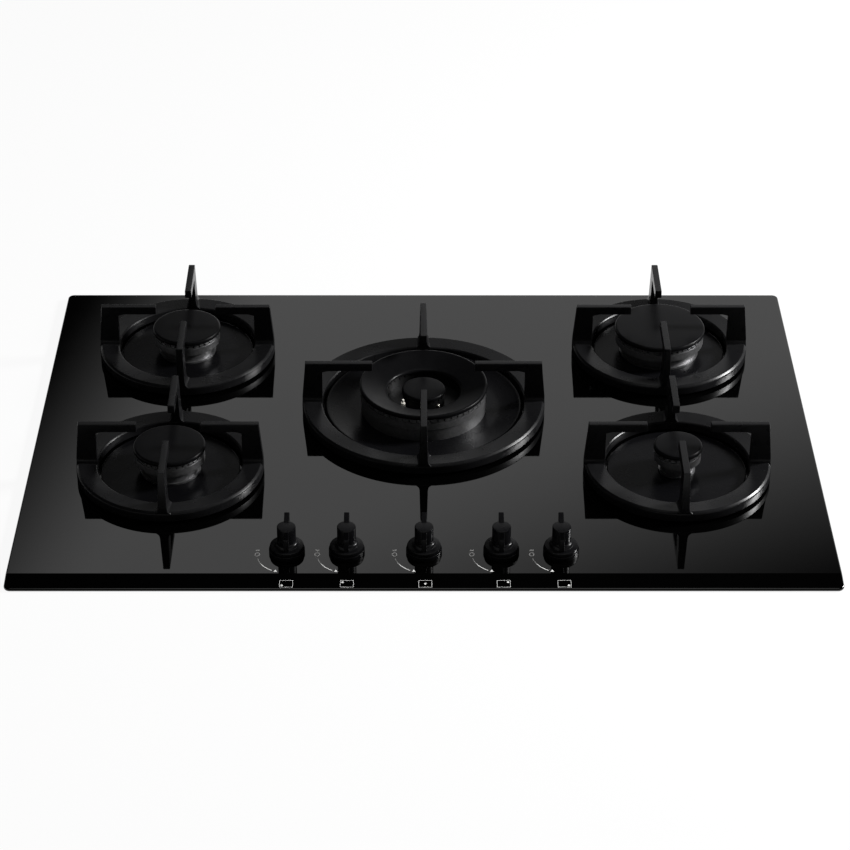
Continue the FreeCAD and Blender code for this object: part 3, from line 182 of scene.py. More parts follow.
def add_turned(name, section, centre, steps=96):
    """Turn a closed half section of (radius, height) points round a vertical axis."""
    pole = 0.004  # the radius that stands for the axis, before its points are merged
    points = [(max(radius, pole), height) for radius, height in section]
    nothing_selected()
    x, y = centre
    radius, height = points[0]
    bpy.ops.mesh.primitive_circle_add(
        vertices=steps, radius=radius * MM, fill_type="NOTHING",
        location=(x * MM, y * MM, height * MM))
    piece = added(name)
    bpy.ops.object.mode_set(mode="EDIT")
    bpy.ops.mesh.select_mode(type="EDGE")
    bpy.ops.mesh.select_all(action="SELECT")
    for next_radius, next_height in points[1:] + points[:1]:
        bpy.ops.mesh.extrude_edges_move(
            TRANSFORM_OT_translate={"value": (0, 0, (next_height - height) * MM)})
        factor = next_radius / radius
        scale_about((factor, factor, 1), (x, y, next_height))
        radius, height = next_radius, next_height
    bpy.ops.object.mode_set(mode="OBJECT")
    return tidy_normals(piece)


def use_modifier(piece, kind, **settings):
    """Add a modifier, set it and apply it."""
    only(piece)
    bpy.ops.object.modifier_add(type=kind)
    modifier = piece.modifiers[-1]
    for key, value in settings.items():
        setattr(modifier, key, value)
    bpy.ops.object.modifier_apply(modifier=modifier.name)
    return piece


def soften(piece, width, segments=2, angle=32):
    """Round every edge sharper than an angle."""
    return use_modifier(piece, "BEVEL", width=width * MM, segments=segments, limit_method="ANGLE",
                        angle_limit=math.radians(angle), use_clamp_overlap=True)


def smooth(piece, angle=40):
    """Shade smooth below an angle, with normals that keep the flat faces flat."""
    only(piece)
    bpy.ops.object.shade_smooth_by_angle(angle=math.radians(angle))
    return use_modifier(piece, "WEIGHTED_NORMAL", weight=100, keep_sharp=True)


def carve(piece, tool, operation="DIFFERENCE"):
    """Cut one piece with another, or weld them, and drop the tool."""
    use_modifier(piece, "BOOLEAN", operation=operation, object=tool, solver="EXACT")
    bpy.data.objects.remove(tool, do_unlink=True)
    return piece


def joined(name, pieces):
    """Join pieces into one object."""
    nothing_selected()
    for piece in pieces:
        piece.select_set(True)
    bpy.context.view_layer.objects.active = pieces[0]
    if len(pieces) > 1:
        bpy.ops.object.join()
    piece = bpy.context.active_object
    piece.name = piece.data.name = name
    return piece


def copied(piece, name, shift=(0, 0, 0), turn=0.0, about=(0, 0)):
    """A copy with its own mesh, turned about a vertical axis and then moved."""
    only(piece)
    bpy.ops.object.duplicate(linked=False)
    twin = bpy.context.active_object
    twin.name = twin.data.name = name
    bpy.ops.object.mode_set(mode="EDIT")
    bpy.ops.mesh.select_all(action="SELECT")
    if turn:
        bpy.ops.transform.rotate(value=math.radians(turn), orient_axis="Z",
                                 center_override=(about[0] * MM, about[1] * MM, 0))
    bpy.ops.transform.translate(value=[s * MM for s in shift])
    bpy.ops.object.mode_set(mode="OBJECT")
    return twin


def settle(piece, body, nodes=(), material=None):
    """Give a finished piece its body, the CAD nodes it stands for, and its finish."""
    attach(piece, body)
    if nodes:
        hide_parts(*nodes)
    if material is not None:
        piece.data.materials.clear()
        piece.data.materials.append(material)
    return piece


# ------------------------------------------------------------ materials

def linear(hex_colour):
    """An sRGB hex colour as linear red, green, blue and alpha."""
    channels = [int(hex_colour[i:i + 2], 16) / 255 for i in (1, 3, 5)]
    return [c / 12.92 if c <= 0.04045 else ((c + 0.055) / 1.055) ** 2.4 for c in channels] + [1.0]


def node(tree, kind, settings=None, **inputs):
    """Add a node with its settings, its socket values and its links."""
    made = tree.nodes.new(kind)
    for key, value in (settings or {}).items():
        setattr(made, key, value)
    for key, value in inputs.items():
        numbered = key[0] == "n" and key[1:].isdigit()
        socket = made.inputs[int(key[1:]) if numbered else key.replace("_", " ")]
        if isinstance(value, bpy.types.NodeSocket):
            tree.links.new(value, socket)
        else:
            socket.default_value = value
    return made


def new_material(name):
    """An empty material: its node tree, its Object coordinates and its shader."""
    material = bpy.data.materials.new(name)
    material.use_nodes = True
    tree = material.node_tree
    tree.nodes.clear()
    place = node(tree, "ShaderNodeTexCoord").outputs["Object"]
    shader = node(tree, "ShaderNodeBsdfPrincipled")
    output = node(tree, "ShaderNodeOutputMaterial")
    tree.links.new(shader.outputs["BSDF"], output.inputs["Surface"])
    return material, tree, place, shader


def per_mm(size):
    """The scale of a pattern whose features are this many millimetres apart."""
    return 1 / (size * MM)


def surface(name, colour, second, roughness, spread, grain_mm, patch_mm, depth_mm, metallic=0.0,
            specular=0.5, ior=1.5, stretch=(1, 1, 1), painted_shade_radius=0):
    """A plain finish: two close colours in soft patches that also vary the gloss, and a fine raised grain.

    With a painted shade radius in millimetres, the colour turns black inside it, round the wok burner's axis:
    painted shade for the shadow in the moat inside the burner's ring.
    """
    painted_shade_colour, painted_shade_fade, unshaded_share = "#141414", 3, 0.12
    material, tree, place, shader = new_material(name)
    mapped = node(tree, "ShaderNodeMapping", Vector=place, Scale=stretch).outputs["Vector"]
    patches = node(tree, "ShaderNodeTexNoise", Vector=mapped, Scale=per_mm(patch_mm), Detail=3.0)
    grain = node(tree, "ShaderNodeTexNoise", Vector=mapped, Scale=per_mm(grain_mm), Detail=4.0)
    mix = node(tree, "ShaderNodeMix", {"data_type": "RGBA"}, Factor=patches.outputs["Fac"],
               n6=linear(colour), n7=linear(second))
    colour_out = mix.outputs[2]
    # Painted shade: inside the radius the colour is mixed towards near black, standing in for the shadow in
    # the wok burner's moat.
    if painted_shade_radius:
        axis = (*(part * MM for part in HEAD_PLACES["centre"]), 0)
        flat = node(tree, "ShaderNodeVectorMath", {"operation": "MULTIPLY"}, n0=place, n1=(1, 1, 0))
        away = node(tree, "ShaderNodeVectorMath", {"operation": "DISTANCE"}, n0=flat.outputs[0], n1=axis)
        unshaded = node(tree, "ShaderNodeMapRange", Value=away.outputs["Value"], From_Min=painted_shade_radius * MM,
                     From_Max=(painted_shade_radius + painted_shade_fade) * MM, To_Min=unshaded_share, To_Max=1.0)
        mix = node(tree, "ShaderNodeMix", {"data_type": "RGBA"}, Factor=unshaded.outputs["Result"],
                   n6=linear(painted_shade_colour), n7=colour_out)
        colour_out = mix.outputs[2]
    tree.links.new(colour_out, shader.inputs["Base Color"])
    gloss = node(tree, "ShaderNodeMapRange", Value=patches.outputs["Fac"], From_Min=0.3, From_Max=0.7,
                 To_Min=roughness - spread, To_Max=roughness + spread)
    tree.links.new(gloss.outputs["Result"], shader.inputs["Roughness"])
    relief = node(tree, "ShaderNodeBump", Height=grain.outputs["Fac"], Strength=0.5, Distance=depth_mm * MM)
    tree.links.new(relief.outputs["Normal"], shader.inputs["Normal"])
    shader.inputs["Metallic"].default_value = metallic
    shader.inputs["IOR"].default_value = ior
    shader.inputs["Specular IOR Level"].default_value = specular
    return material


FINISHES = {
    # Tempered float glass, printed black underneath: a near-perfect dark mirror with a faint haze.
    "printed_float_glass": dict(colour="#010101", second="#020202", roughness=0.03, spread=0.01, grain_mm=6,
                                patch_mm=90, depth_mm=0.0002, ior=1.52),
    # Sand-cast iron under matt enamel: the sand's grain still shows through the glaze.
    "enamelled_cast_iron": dict(colour="#0f0f10", second="#151516", roughness=0.29, spread=0.04, grain_mm=1.3,
                                patch_mm=14, depth_mm=0.05, specular=0.14),
    # Vitreous enamel on pressed steel: smooth and satin, with a slight cloudiness.
    "satin_enamel": dict(colour="#0a0a0b", second="#0e0e0f", roughness=0.32, spread=0.03, grain_mm=0.9,
                         patch_mm=11, depth_mm=0.015, specular=0.05),
    # The same enamel on the drip plates, glossier: it mirrors the burners softly.
    "drip_plate_enamel": dict(colour="#08080a", second="#0c0c0d", roughness=0.27, spread=0.03, grain_mm=2.5,
                              patch_mm=25, depth_mm=0.005, specular=0.06),
    # Die-cast aluminium, darkened: the skin from the mould gives a broken, dull shine.
    "dark_die_cast_aluminium": dict(colour="#6a6a6b", second="#929293", roughness=0.42, spread=0.06,
                                    grain_mm=0.8, patch_mm=2.2, depth_mm=0.12, metallic=0.9),
    # The wok burner's crown: the same casting, with painted shade that blackens it inside the ring, where the
    # moat lies in shadow.
    "aluminium_with_painted_shade": dict(colour="#6a6a6b", second="#929293", roughness=0.42, spread=0.06,
                             grain_mm=0.8, patch_mm=2.2, depth_mm=0.12, metallic=0.9, painted_shade_radius=46),
    # Die-cast aluminium as it leaves the mould: an even, dull grey.
    "raw_die_cast_aluminium": dict(colour="#5c5c5d", second="#717172", roughness=0.5, spread=0.08,
                                   grain_mm=0.9, patch_mm=8, depth_mm=0.05, metallic=1.0),
    # Moulded phenolic plastic: the mould's fine spark-eroded texture spreads the highlights.
    "moulded_phenolic": dict(colour="#08080a", second="#0c0c0d", roughness=0.3, spread=0.04, grain_mm=0.5,
                             patch_mm=7, depth_mm=0.008, specular=0.12),
    # Fired screen print: slightly raised, chalky white enamel ink.
    "white_screen_print": dict(colour="#e8e8e6", second="#dcdcda", roughness=0.55, spread=0.05, grain_mm=0.4,
                               patch_mm=3, depth_mm=0.004),
    # Moulded silicone rubber: soft, dull black that holds no highlight.
    "silicone_rubber": dict(colour="#141414", second="#1b1b1b", roughness=0.7, spread=0.06, grain_mm=0.8,
                            patch_mm=5, depth_mm=0.02),
    # Closed-cell foam: small open bubbles on the cut face.
    "closed_cell_foam": dict(colour="#1d1d1d", second="#292929", roughness=0.9, spread=0.05, grain_mm=1.2,
                             patch_mm=9, depth_mm=0.2),
    # Galvanised sheet: large zinc crystals that differ a little in grey and gloss.
    "galvanised_sheet": dict(colour="#8e9295", second="#a9acae", roughness=0.38, spread=0.1, grain_mm=7,
                             patch_mm=16, depth_mm=0.01, metallic=1.0),
    # Glazed alumina: off-white with a smooth, bright shine.
    "alumina_ceramic": dict(colour="#e9e6dd", second="#dedbd2", roughness=0.22, spread=0.03, grain_mm=0.6,
                            patch_mm=3, depth_mm=0.005),
    # Stainless tube that has been hot: dull patches with a trace of straw.
    "heat_tinted_steel": dict(colour="#8d8b86", second="#6e6b64", roughness=0.3, spread=0.06, grain_mm=0.5,
                              patch_mm=4, depth_mm=0.008, metallic=1.0),
    # Turned steel: fine rings left by the lathe.
    "turned_steel": dict(colour="#9b9b9c", second="#adadae", roughness=0.28, spread=0.05, grain_mm=0.3,
                         patch_mm=3, depth_mm=0.01, metallic=1.0, stretch=(0.15, 0.15, 1)),
    # Moulded acetal: waxy off-white.
    "acetal_plastic": dict(colour="#d9d8d2", second="#cfcec8", roughness=0.35, spread=0.03, grain_mm=0.8,
                           patch_mm=4, depth_mm=0.005),
    # Turned brass: warm yellow with a fine, even shine.
    "machined_brass": dict(colour="#c79a4e", second="#b58a42", roughness=0.3, spread=0.06, grain_mm=0.4,
                           patch_mm=5, depth_mm=0.01, metallic=1.0),
    # Drawn aluminium tube: fine lines along the run.
    "drawn_aluminium": dict(colour="#b5b7b8", second="#a6a8aa", roughness=0.32, spread=0.05, grain_mm=0.5,
                            patch_mm=9, depth_mm=0.008, metallic=1.0),
    # Zinc-plated steel: a pale, slightly clouded grey.
    "zinc_plated_steel": dict(colour="#9a9b97", second="#b0b1ae", roughness=0.35, spread=0.07, grain_mm=0.6,
                              patch_mm=6, depth_mm=0.01, metallic=1.0),
    # Moulded black nylon: a plain satin.
    "moulded_nylon": dict(colour="#1a1a1b", second="#222223", roughness=0.5, spread=0.05, grain_mm=0.5,
                          patch_mm=6, depth_mm=0.015),
}

# The finish of each CAD node, by its name or by the end of its name.
NODE_FINISHES = {
    "glass_top": "printed_float_glass", "worktop_seal": "closed_cell_foam",
    "burner_box": "galvanised_sheet", "injector_holders": "machined_brass",
    "gas_taps": "raw_die_cast_aluminium", "gas_pipes": "drawn_aluminium",
    "gas_manifold": "zinc_plated_steel", "gas_inlet": "machined_brass",
    "ignition_switches": "moulded_nylon", "ignition_generator": "moulded_nylon",
    "mains_gland": "moulded_nylon",
    "fixing_clamps": "zinc_plated_steel", "fixing_screws": "zinc_plated_steel",
    "side_drip_plates": "drip_plate_enamel", "centre_drip_plate": "drip_plate_enamel",
    "spark_plugs": "alumina_ceramic", "thermocouples": "heat_tinted_steel",
    "knob_bezels": "moulded_phenolic",
    "centre_inner_cap": "satin_enamel", "centre_burner_crown": "aluminium_with_painted_shade",
}
PIECE_FINISHES = {
    "pan_support": "enamelled_cast_iron", "support_feet": "silicone_rubber",
    "burner_cup": "dark_die_cast_aluminium", "burner_crown": "dark_die_cast_aluminium",
    "burner_cap": "satin_enamel", "knob": "moulded_phenolic", "tap_spindle": "turned_steel",
    "switch_slider": "acetal_plastic",
}
made_finishes = {}


def finish(name):
    """A finish by name, made the first time it is asked for."""
    if name not in made_finishes:
        made_finishes[name] = surface(name, **FINISHES[name])
    return made_finishes[name]


# ------------------------------------------------------------ what a user may change

class CooktopSizes(bpy.types.PropertyGroup):
    """Sizes of the modelled pieces that a user would change"""
    glass_edge: FloatProperty(name="Glass edge", description="Rounding of the glass edges, mm",
                              default=2.4, min=0.2, max=2.5)
    facet_width: FloatProperty(name="Facet width", description="Width of the ground strip at the front, mm",
                               default=20, min=5, max=40)
    facet_drop: FloatProperty(name="Facet drop", description="How much thinner the front edge is, mm",
                              default=3, min=0.5, max=4)
    casting_edge: FloatProperty(name="Casting edge", description="Rounding of the cast supports' edges, mm",
                                default=0.7, min=0.2, max=1.2)
    finger_width: FloatProperty(name="Finger width", description="Thickness of a support's finger, mm",
                                default=6.4, min=4, max=8)
    steps: IntProperty(name="Steps", description="Straight steps in a full turn",
                       default=128, min=32, max=256)


class CooktopStage(bpy.types.PropertyGroup):
    """The light and the worktop's colour"""
    side_light: FloatProperty(name="Side light", description="Power of the softbox on the right, W",
                              default=80, min=0, unit="POWER")
    top_light: FloatProperty(name="Top light", description="Power of the overhead softbox, W",
                             default=7, min=0, unit="POWER")
    floor_colour: FloatVectorProperty(name="Floor", description="Colour of the worktop around the glass",
                                      subtype="COLOR", default=(0.9, 0.9, 0.9), min=0, max=1)


def sizes():
    """The sizes as the user has set them."""
    return bpy.context.scene.cooktop_sizes


# ------------------------------------------------------------ operators

class COOKTOP_OT_glass(bpy.types.Operator):
    """Model the glass slab with its front facet, ground edges and holes"""
    bl_idname = "cooktop.glass"
    bl_label = "Glass top"

    def execute(self, context):
        low, high = GLASS_LOW, GLASS_HIGH
        corner, hole_steps, overshoot, near = 6, 96, 2, 0.3
        piece = add_block("glass_slab", low, high)
        edit(piece, "EDGE")
        pick(piece, lambda place, along: abs(along.z) > 0.9, "EDGE")
        bpy.ops.mesh.bevel(offset=corner * MM, segments=8, affect="EDGES")
        bpy.ops.mesh.select_all(action="SELECT")
        width, drop = sizes().facet_width, sizes().facet_drop
        slope = Vector((0, -drop, width)).normalized()
        bpy.ops.mesh.bisect(plane_co=(0, (low.y + width) * MM, high.z * MM), plane_no=slope,
                            use_fill=True, clear_outer=True)
        bpy.ops.object.mode_set(mode="OBJECT")
        soften(piece, sizes().glass_edge, segments=4)
        bottom, top = low.z - overshoot, high.z + overshoot
        for i, (radius, centre) in enumerate(self.holes()):
            carve(piece, add_rod(f"hole_{i}", radius, bottom, top, centre, hole_steps))
        only(piece)
        bpy.ops.object.shade_smooth_by_angle(angle=math.radians(35))
        # The ridge between the top and the facet is ground sharp.
        edit(piece, "EDGE")
        pick(piece, lambda place, along: abs(place.y - low.y - width) < near
             and abs(place.z - high.z) < near and abs(along.x) > 0.9, "EDGE")
        bpy.ops.mesh.mark_sharp()
        bpy.ops.object.mode_set(mode="OBJECT")
        use_modifier(piece, "WEIGHTED_NORMAL", weight=100, keep_sharp=True)
        settle(piece, "cooktop", ["glass_top"], finish("printed_float_glass"))
        return {"FINISHED"}

    def holes(self):
        """Radius and centre of the holes for the burner cups and the spindles."""
        for name in BURNERS:
            low, high = box_mm(f"{name}_burner_cup")
            bore = WOK_BORE if name == "centre" else (high.x - low.x) / 2 - HOLE_SET_IN
            yield bore, HEAD_PLACES[name]
        for name in BURNERS:
            yield SPINDLE_BORE, KNOB_PLACES[name]


def add_finger(name, rim, arm_end, base, top):
    """One L-shaped finger along +X: a leg with a flared foot, and an arm inwards."""
    thick = sizes().finger_width
    leg_width, root, arm_depth, lean, set_in = 20, 8, 8.5, 3.2, 0.3
    corner, slant, near = 6, 1.5, 0.05
    # How far the foot flares on each side, at heights above the ring.
    flare = ((0, 3.8), (1.6, 1.7), (3.4, 0.5), (6.5, 0.0))
    leg = add_block(name, (rim - leg_width, -root / 2, base), (rim - set_in, root / 2, top))
    levels = [(base + height, grow) for height, grow in flare]
    bpy.ops.object.mode_set(mode="EDIT")
    for level, _ in levels[1:]:
        cut_level((0, 0, level), (0, 0, 1))
    cut_level((0, 0, top - arm_depth), (0, 0, 1))
    for level, grow in levels:
        pick(leg, lambda place, normal: abs(place.z - level) < near)
        scale_about((1, 1 + 2 * grow / root, 1), (rim, 0, level))
    # Upwards the leg gets thinner, and its outer side leans inwards.
    for level in (top, top - arm_depth):
        share = (level - base) / (top - base)
        pick(leg, lambda place, normal: abs(place.z - level) < near)
        scale_about((1, 1 + share * (thick / root - 1), 1), (rim, 0, level))
        pick(leg, lambda place, normal: abs(place.z - level) < near and place.x > rim - leg_width / 10)
        bpy.ops.transform.translate(value=(-lean * share * MM, 0, 0))
    pick(leg, lambda place, normal: normal.x < -0.9 and place.z > top - arm_depth, "FACE")
    reach = rim - leg_width - arm_end
    bpy.ops.mesh.extrude_region_move(TRANSFORM_OT_translate={"value": (-corner * MM, 0, 0)})
    bpy.ops.mesh.extrude_region_move(TRANSFORM_OT_translate={"value": ((corner - reach) * MM, 0, 0)})
    # The inside corner between leg and arm is filled by a slant.
    pick(leg, lambda place, normal: abs(place.z - top + arm_depth) < near
         and abs(place.x - rim + leg_width) < near)
    bpy.ops.transform.translate(value=(0, 0, -slant * MM))
    bpy.ops.object.mode_set(mode="OBJECT")
    return soften(leg, sizes().casting_edge, angle=50)


def add_support(name, rim, arm_end, low, high):
    """A cast ring with four fingers, round the origin."""
    band, height, slope, bevel, sunk = 20, 10, 1.2, 3, 0.6
    inner, crest = rim - band, low + height - slope
    ring = add_turned(name, [
        (inner, low), (rim - 0.6, low), (rim, low + 0.6), (rim, low + height - bevel),
        (rim - 0.5, low + height - bevel * 0.55), (rim - bevel * 0.8, low + height),
        (inner + 1.3, crest), (inner, crest - 1.3)], (0, 0), sizes().steps)
    soften(ring, 0.3, angle=24)
    finger = add_finger("finger", rim, arm_end, crest - sunk, high)
    fingers = [copied(finger, f"finger_{i}", turn=90 * i) for i in range(4)]
    bpy.data.objects.remove(finger, do_unlink=True)
    for finger in fingers:
        carve(ring, finger, "UNION")
    return smooth(ring, 34)


class COOKTOP_OT_supports(bpy.types.Operator):
    """Model the cast pan supports: one small pattern copied four times, and the large one"""
    bl_idname = "cooktop.supports"
    bl_label = "Pan supports"

    def execute(self, context):
        for names, arm_end in ((SIDE_BURNERS, 30), (("centre",), 50)):
            low, high = box_mm(f"{names[0]}_pan_support")
            rim = (high.y - low.y) / 2
            pattern = add_support("pattern_support", rim, arm_end, low.z, high.z)
            for name in names:
                x, y = middle(f"{name}_pan_support")
                piece = copied(pattern, f"{name}_support_casting", shift=(x, y, 0))
                settle(piece, f"{name}_support", [f"{name}_pan_support"],
                       finish("enamelled_cast_iron"))
            bpy.data.objects.remove(pattern, do_unlink=True)
        return {"FINISHED"}


class COOKTOP_OT_plates(bpy.types.Operator):
    """Model the enamelled drip plates that lie on the glass"""
    bl_idname = "cooktop.plates"
    bl_label = "Drip plates"

    def execute(self, context):
        base, top, rim = GLASS_TOP, GLASS_TOP + PLATE_THICKNESS, 66
        plates = []
        for name in SIDE_BURNERS:
            low, high = box_mm(f"{name}_burner_cap")
            bore = (high.x - low.x) / 2 - HOLE_SET_IN
            plates.append(add_turned(f"{name}_plate", [
                (bore, base), (rim, base), (rim, top - 1), (rim - 0.4, top - 0.3), (rim - 1.2, top),
                (bore, top)], HEAD_PLACES[name], sizes().steps))
        piece = joined("flat_drip_plates", plates)
        settle(smooth(soften(piece, 0.25)), "cooktop", ["side_drip_plates"],
               finish("drip_plate_enamel"))
        # The dish rises from its flat middle to a rolled crest and comes down to the glass again.
        dish = add_turned("wok_drip_dish", [
            (WOK_BORE, base), (71.6, base), (92.5, base + 5.4), (93.9, base + 5.4), (95.7, base),
            (97.5, base), (96.6, base + 5.6), (96.1, base + 6.6), (95.2, base + 7), (94, base + 6.9),
            (92.6, base + 6.5), (84, base + 4.2), (76, base + 2.6), (70.5, top), (WOK_BORE, top)],
            HEAD_PLACES["centre"], sizes().steps)
        settle(smooth(dish), "cooktop", ["centre_drip_plate"], finish("drip_plate_enamel"))
        return {"FINISHED"}


class COOKTOP_OT_caps(bpy.types.Operator):
    """Model the enamelled burner caps with their rounded rims"""
    bl_idname = "cooktop.caps"
    bl_label = "Burner caps"

    def execute(self, context):
        for name in SIDE_BURNERS:
            self.cap(name, f"{name}_burner_cap", f"{name}_cap", HEAD_PLACES[name], 13)
        self.cap("wok_inner", "centre_inner_cap", "centre_small_cap", HEAD_PLACES["centre"], 5.3)
        low, high = box_mm("centre_burner_cap")
        outer, inner, rib, rim_thickness = (high.x - low.x) / 2, 36, 40.8, 4.5
        lip, seat, top = low.z + CAP_RIB, high.z - rim_thickness, high.z
        # The top falls like a funnel towards the hole.
        ring = add_turned("wok_ring_cap", [
            (inner + 0.5, lip), (rib, lip), (rib, low.z), (rib + 1.5, low.z), (rib + 1.5, lip),
            (outer - 8, seat), (outer - 0.8, seat), (outer - 0.2, seat + 0.3), (outer, seat + 0.9),
            (outer, top - 1.9), (outer - 0.25, top - 1), (outer - 0.8, top - 0.35), (outer - 1.7, top - 0.1),
            (outer - 2.6, top - 0.3), (outer - 4.4, top - 0.9), (inner + 2.6, lip + 4.2),
            (inner + 1.1, lip + 3.3), (inner + 0.3, lip + 2.4), (inner, lip + 1.6), (inner, lip + 0.5)],
            HEAD_PLACES["centre"], sizes().steps)
        settle(smooth(ring), "centre_cap", ["centre_burner_cap"], finish("satin_enamel"))
        return {"FINISHED"}

    def cap(self, name, node_name, body, centre, rib_set_in):
        """A flat cap with a low crown, a rounded rim and a rib below that keeps it in its place."""
        low, high = box_mm(node_name)
        radius, rib_wall = (high.x - low.x) / 2, 1.5
        seat, top, rib = low.z + CAP_RIB, high.z, radius - rib_set_in
        piece = add_turned(f"{name}_cap_disc", [
            (0, seat + 1), (rib - rib_wall, seat + 1), (rib - rib_wall, low.z), (rib, low.z), (rib, seat),
            (radius - 0.8, seat), (radius - 0.2, seat + 0.3), (radius, seat + 0.9), (radius, top - 2.4),
            (radius - 0.3, top - 1.4), (radius - 1, top - 0.7), (radius - 2, top - 0.35),
            (radius * 0.6, top - 0.1), (0, top)], centre, sizes().steps)
        settle(smooth(piece), body, [node_name], finish("satin_enamel"))


class COOKTOP_OT_knobs(bpy.types.Operator):
    """Model the control knobs and the low rings they stand in"""
    bl_idname = "cooktop.knobs"
    bl_label = "Knobs"

    def execute(self, context):
        base, x, y = GLASS_TOP, *KNOB_PLACES["centre"]
        # The grips: half a width, and how far the front and the rear one reach from the axis.
        half, front_reach, rear_reach, rear_lean, edge = 2.4, 12.4, 15.2, 2.8, 0.5
        # Their heights: the column's top lies this far below the rear grip's tip.
        foot, front_height, tip_rise, rear_step = 7.4, 21, 3, 0.6
        column, bore, spindle_end, steps = 8.5, 3, 18, 96
        top = box_mm("centre_knob")[1].z - tip_rise
        pattern = add_turned("pattern_knob", [
            (bore, base + 3.9), (15.2, base + 3.9), (15.4, base + 4.2), (15.4, base + 7),
            (15.1, base + 7.7), (14.5, base + 8), (11.2, base + 8.3), (10.7, base + 8.7),
            (10.3, base + 10.6), (9.8, base + 11.6), (9.1, base + 12), (column, base + 12.4),
            (column, top - 0.8), (column - 0.2, top - 0.3), (column - 0.7, top),
            (0, top), (0, base + spindle_end), (bore, base + spindle_end)], (x, y), steps)
        front = add_block("front_grip", (x - half, y - front_reach, base + foot),
                          (x + half, y - column + 1, top - 0.1))
        bpy.ops.object.mode_set(mode="EDIT")
        pick(front, lambda place, normal: place.z > base + spindle_end and place.y < y - column)
        bpy.ops.transform.translate(value=(0, 0, (base + front_height - top) * MM))
        bpy.ops.object.mode_set(mode="OBJECT")
        soften(front, edge, 3)
        rear = add_block("rear_grip", (x - half, y + column - 2.5, base + foot),
                         (x + half, y + rear_reach, top + rear_step))
        bpy.ops.object.mode_set(mode="EDIT")
        pick(rear, lambda place, normal: place.z > base + spindle_end and place.y > y + column)
        bpy.ops.transform.translate(value=(0, rear_lean * MM, (tip_rise - rear_step - 0.1) * MM))
        bpy.ops.object.mode_set(mode="OBJECT")
        soften(rear, edge, 3)
        carve(pattern, front, "UNION")
        carve(pattern, rear, "UNION")
        smooth(pattern, 36)
        for name in BURNERS:
            place = KNOB_PLACES[name]
            piece = copied(pattern, f"{name}_grip_knob", shift=(place[0] - x, place[1] - y, 0))
            settle(piece, f"{name}_control", [f"{name}_knob"], finish("moulded_phenolic"))
        bpy.data.objects.remove(pattern, do_unlink=True)
        ring = [
            (SPINDLE_BORE, base), (16.3, base), (16.3, base + 3.6), (16.15, base + 4.05),
            (15.95, base + 4.2), (15.7, base + 4.0), (15.7, base + 0.6), (SPINDLE_BORE, base + 0.6)]
        rings = [add_turned(f"{name}_ring", ring, KNOB_PLACES[name], steps) for name in BURNERS]
        settle(smooth(joined("knob_rings", rings)), "cooktop", ["knob_bezels"],
               finish("moulded_phenolic"))
        return {"FINISHED"}


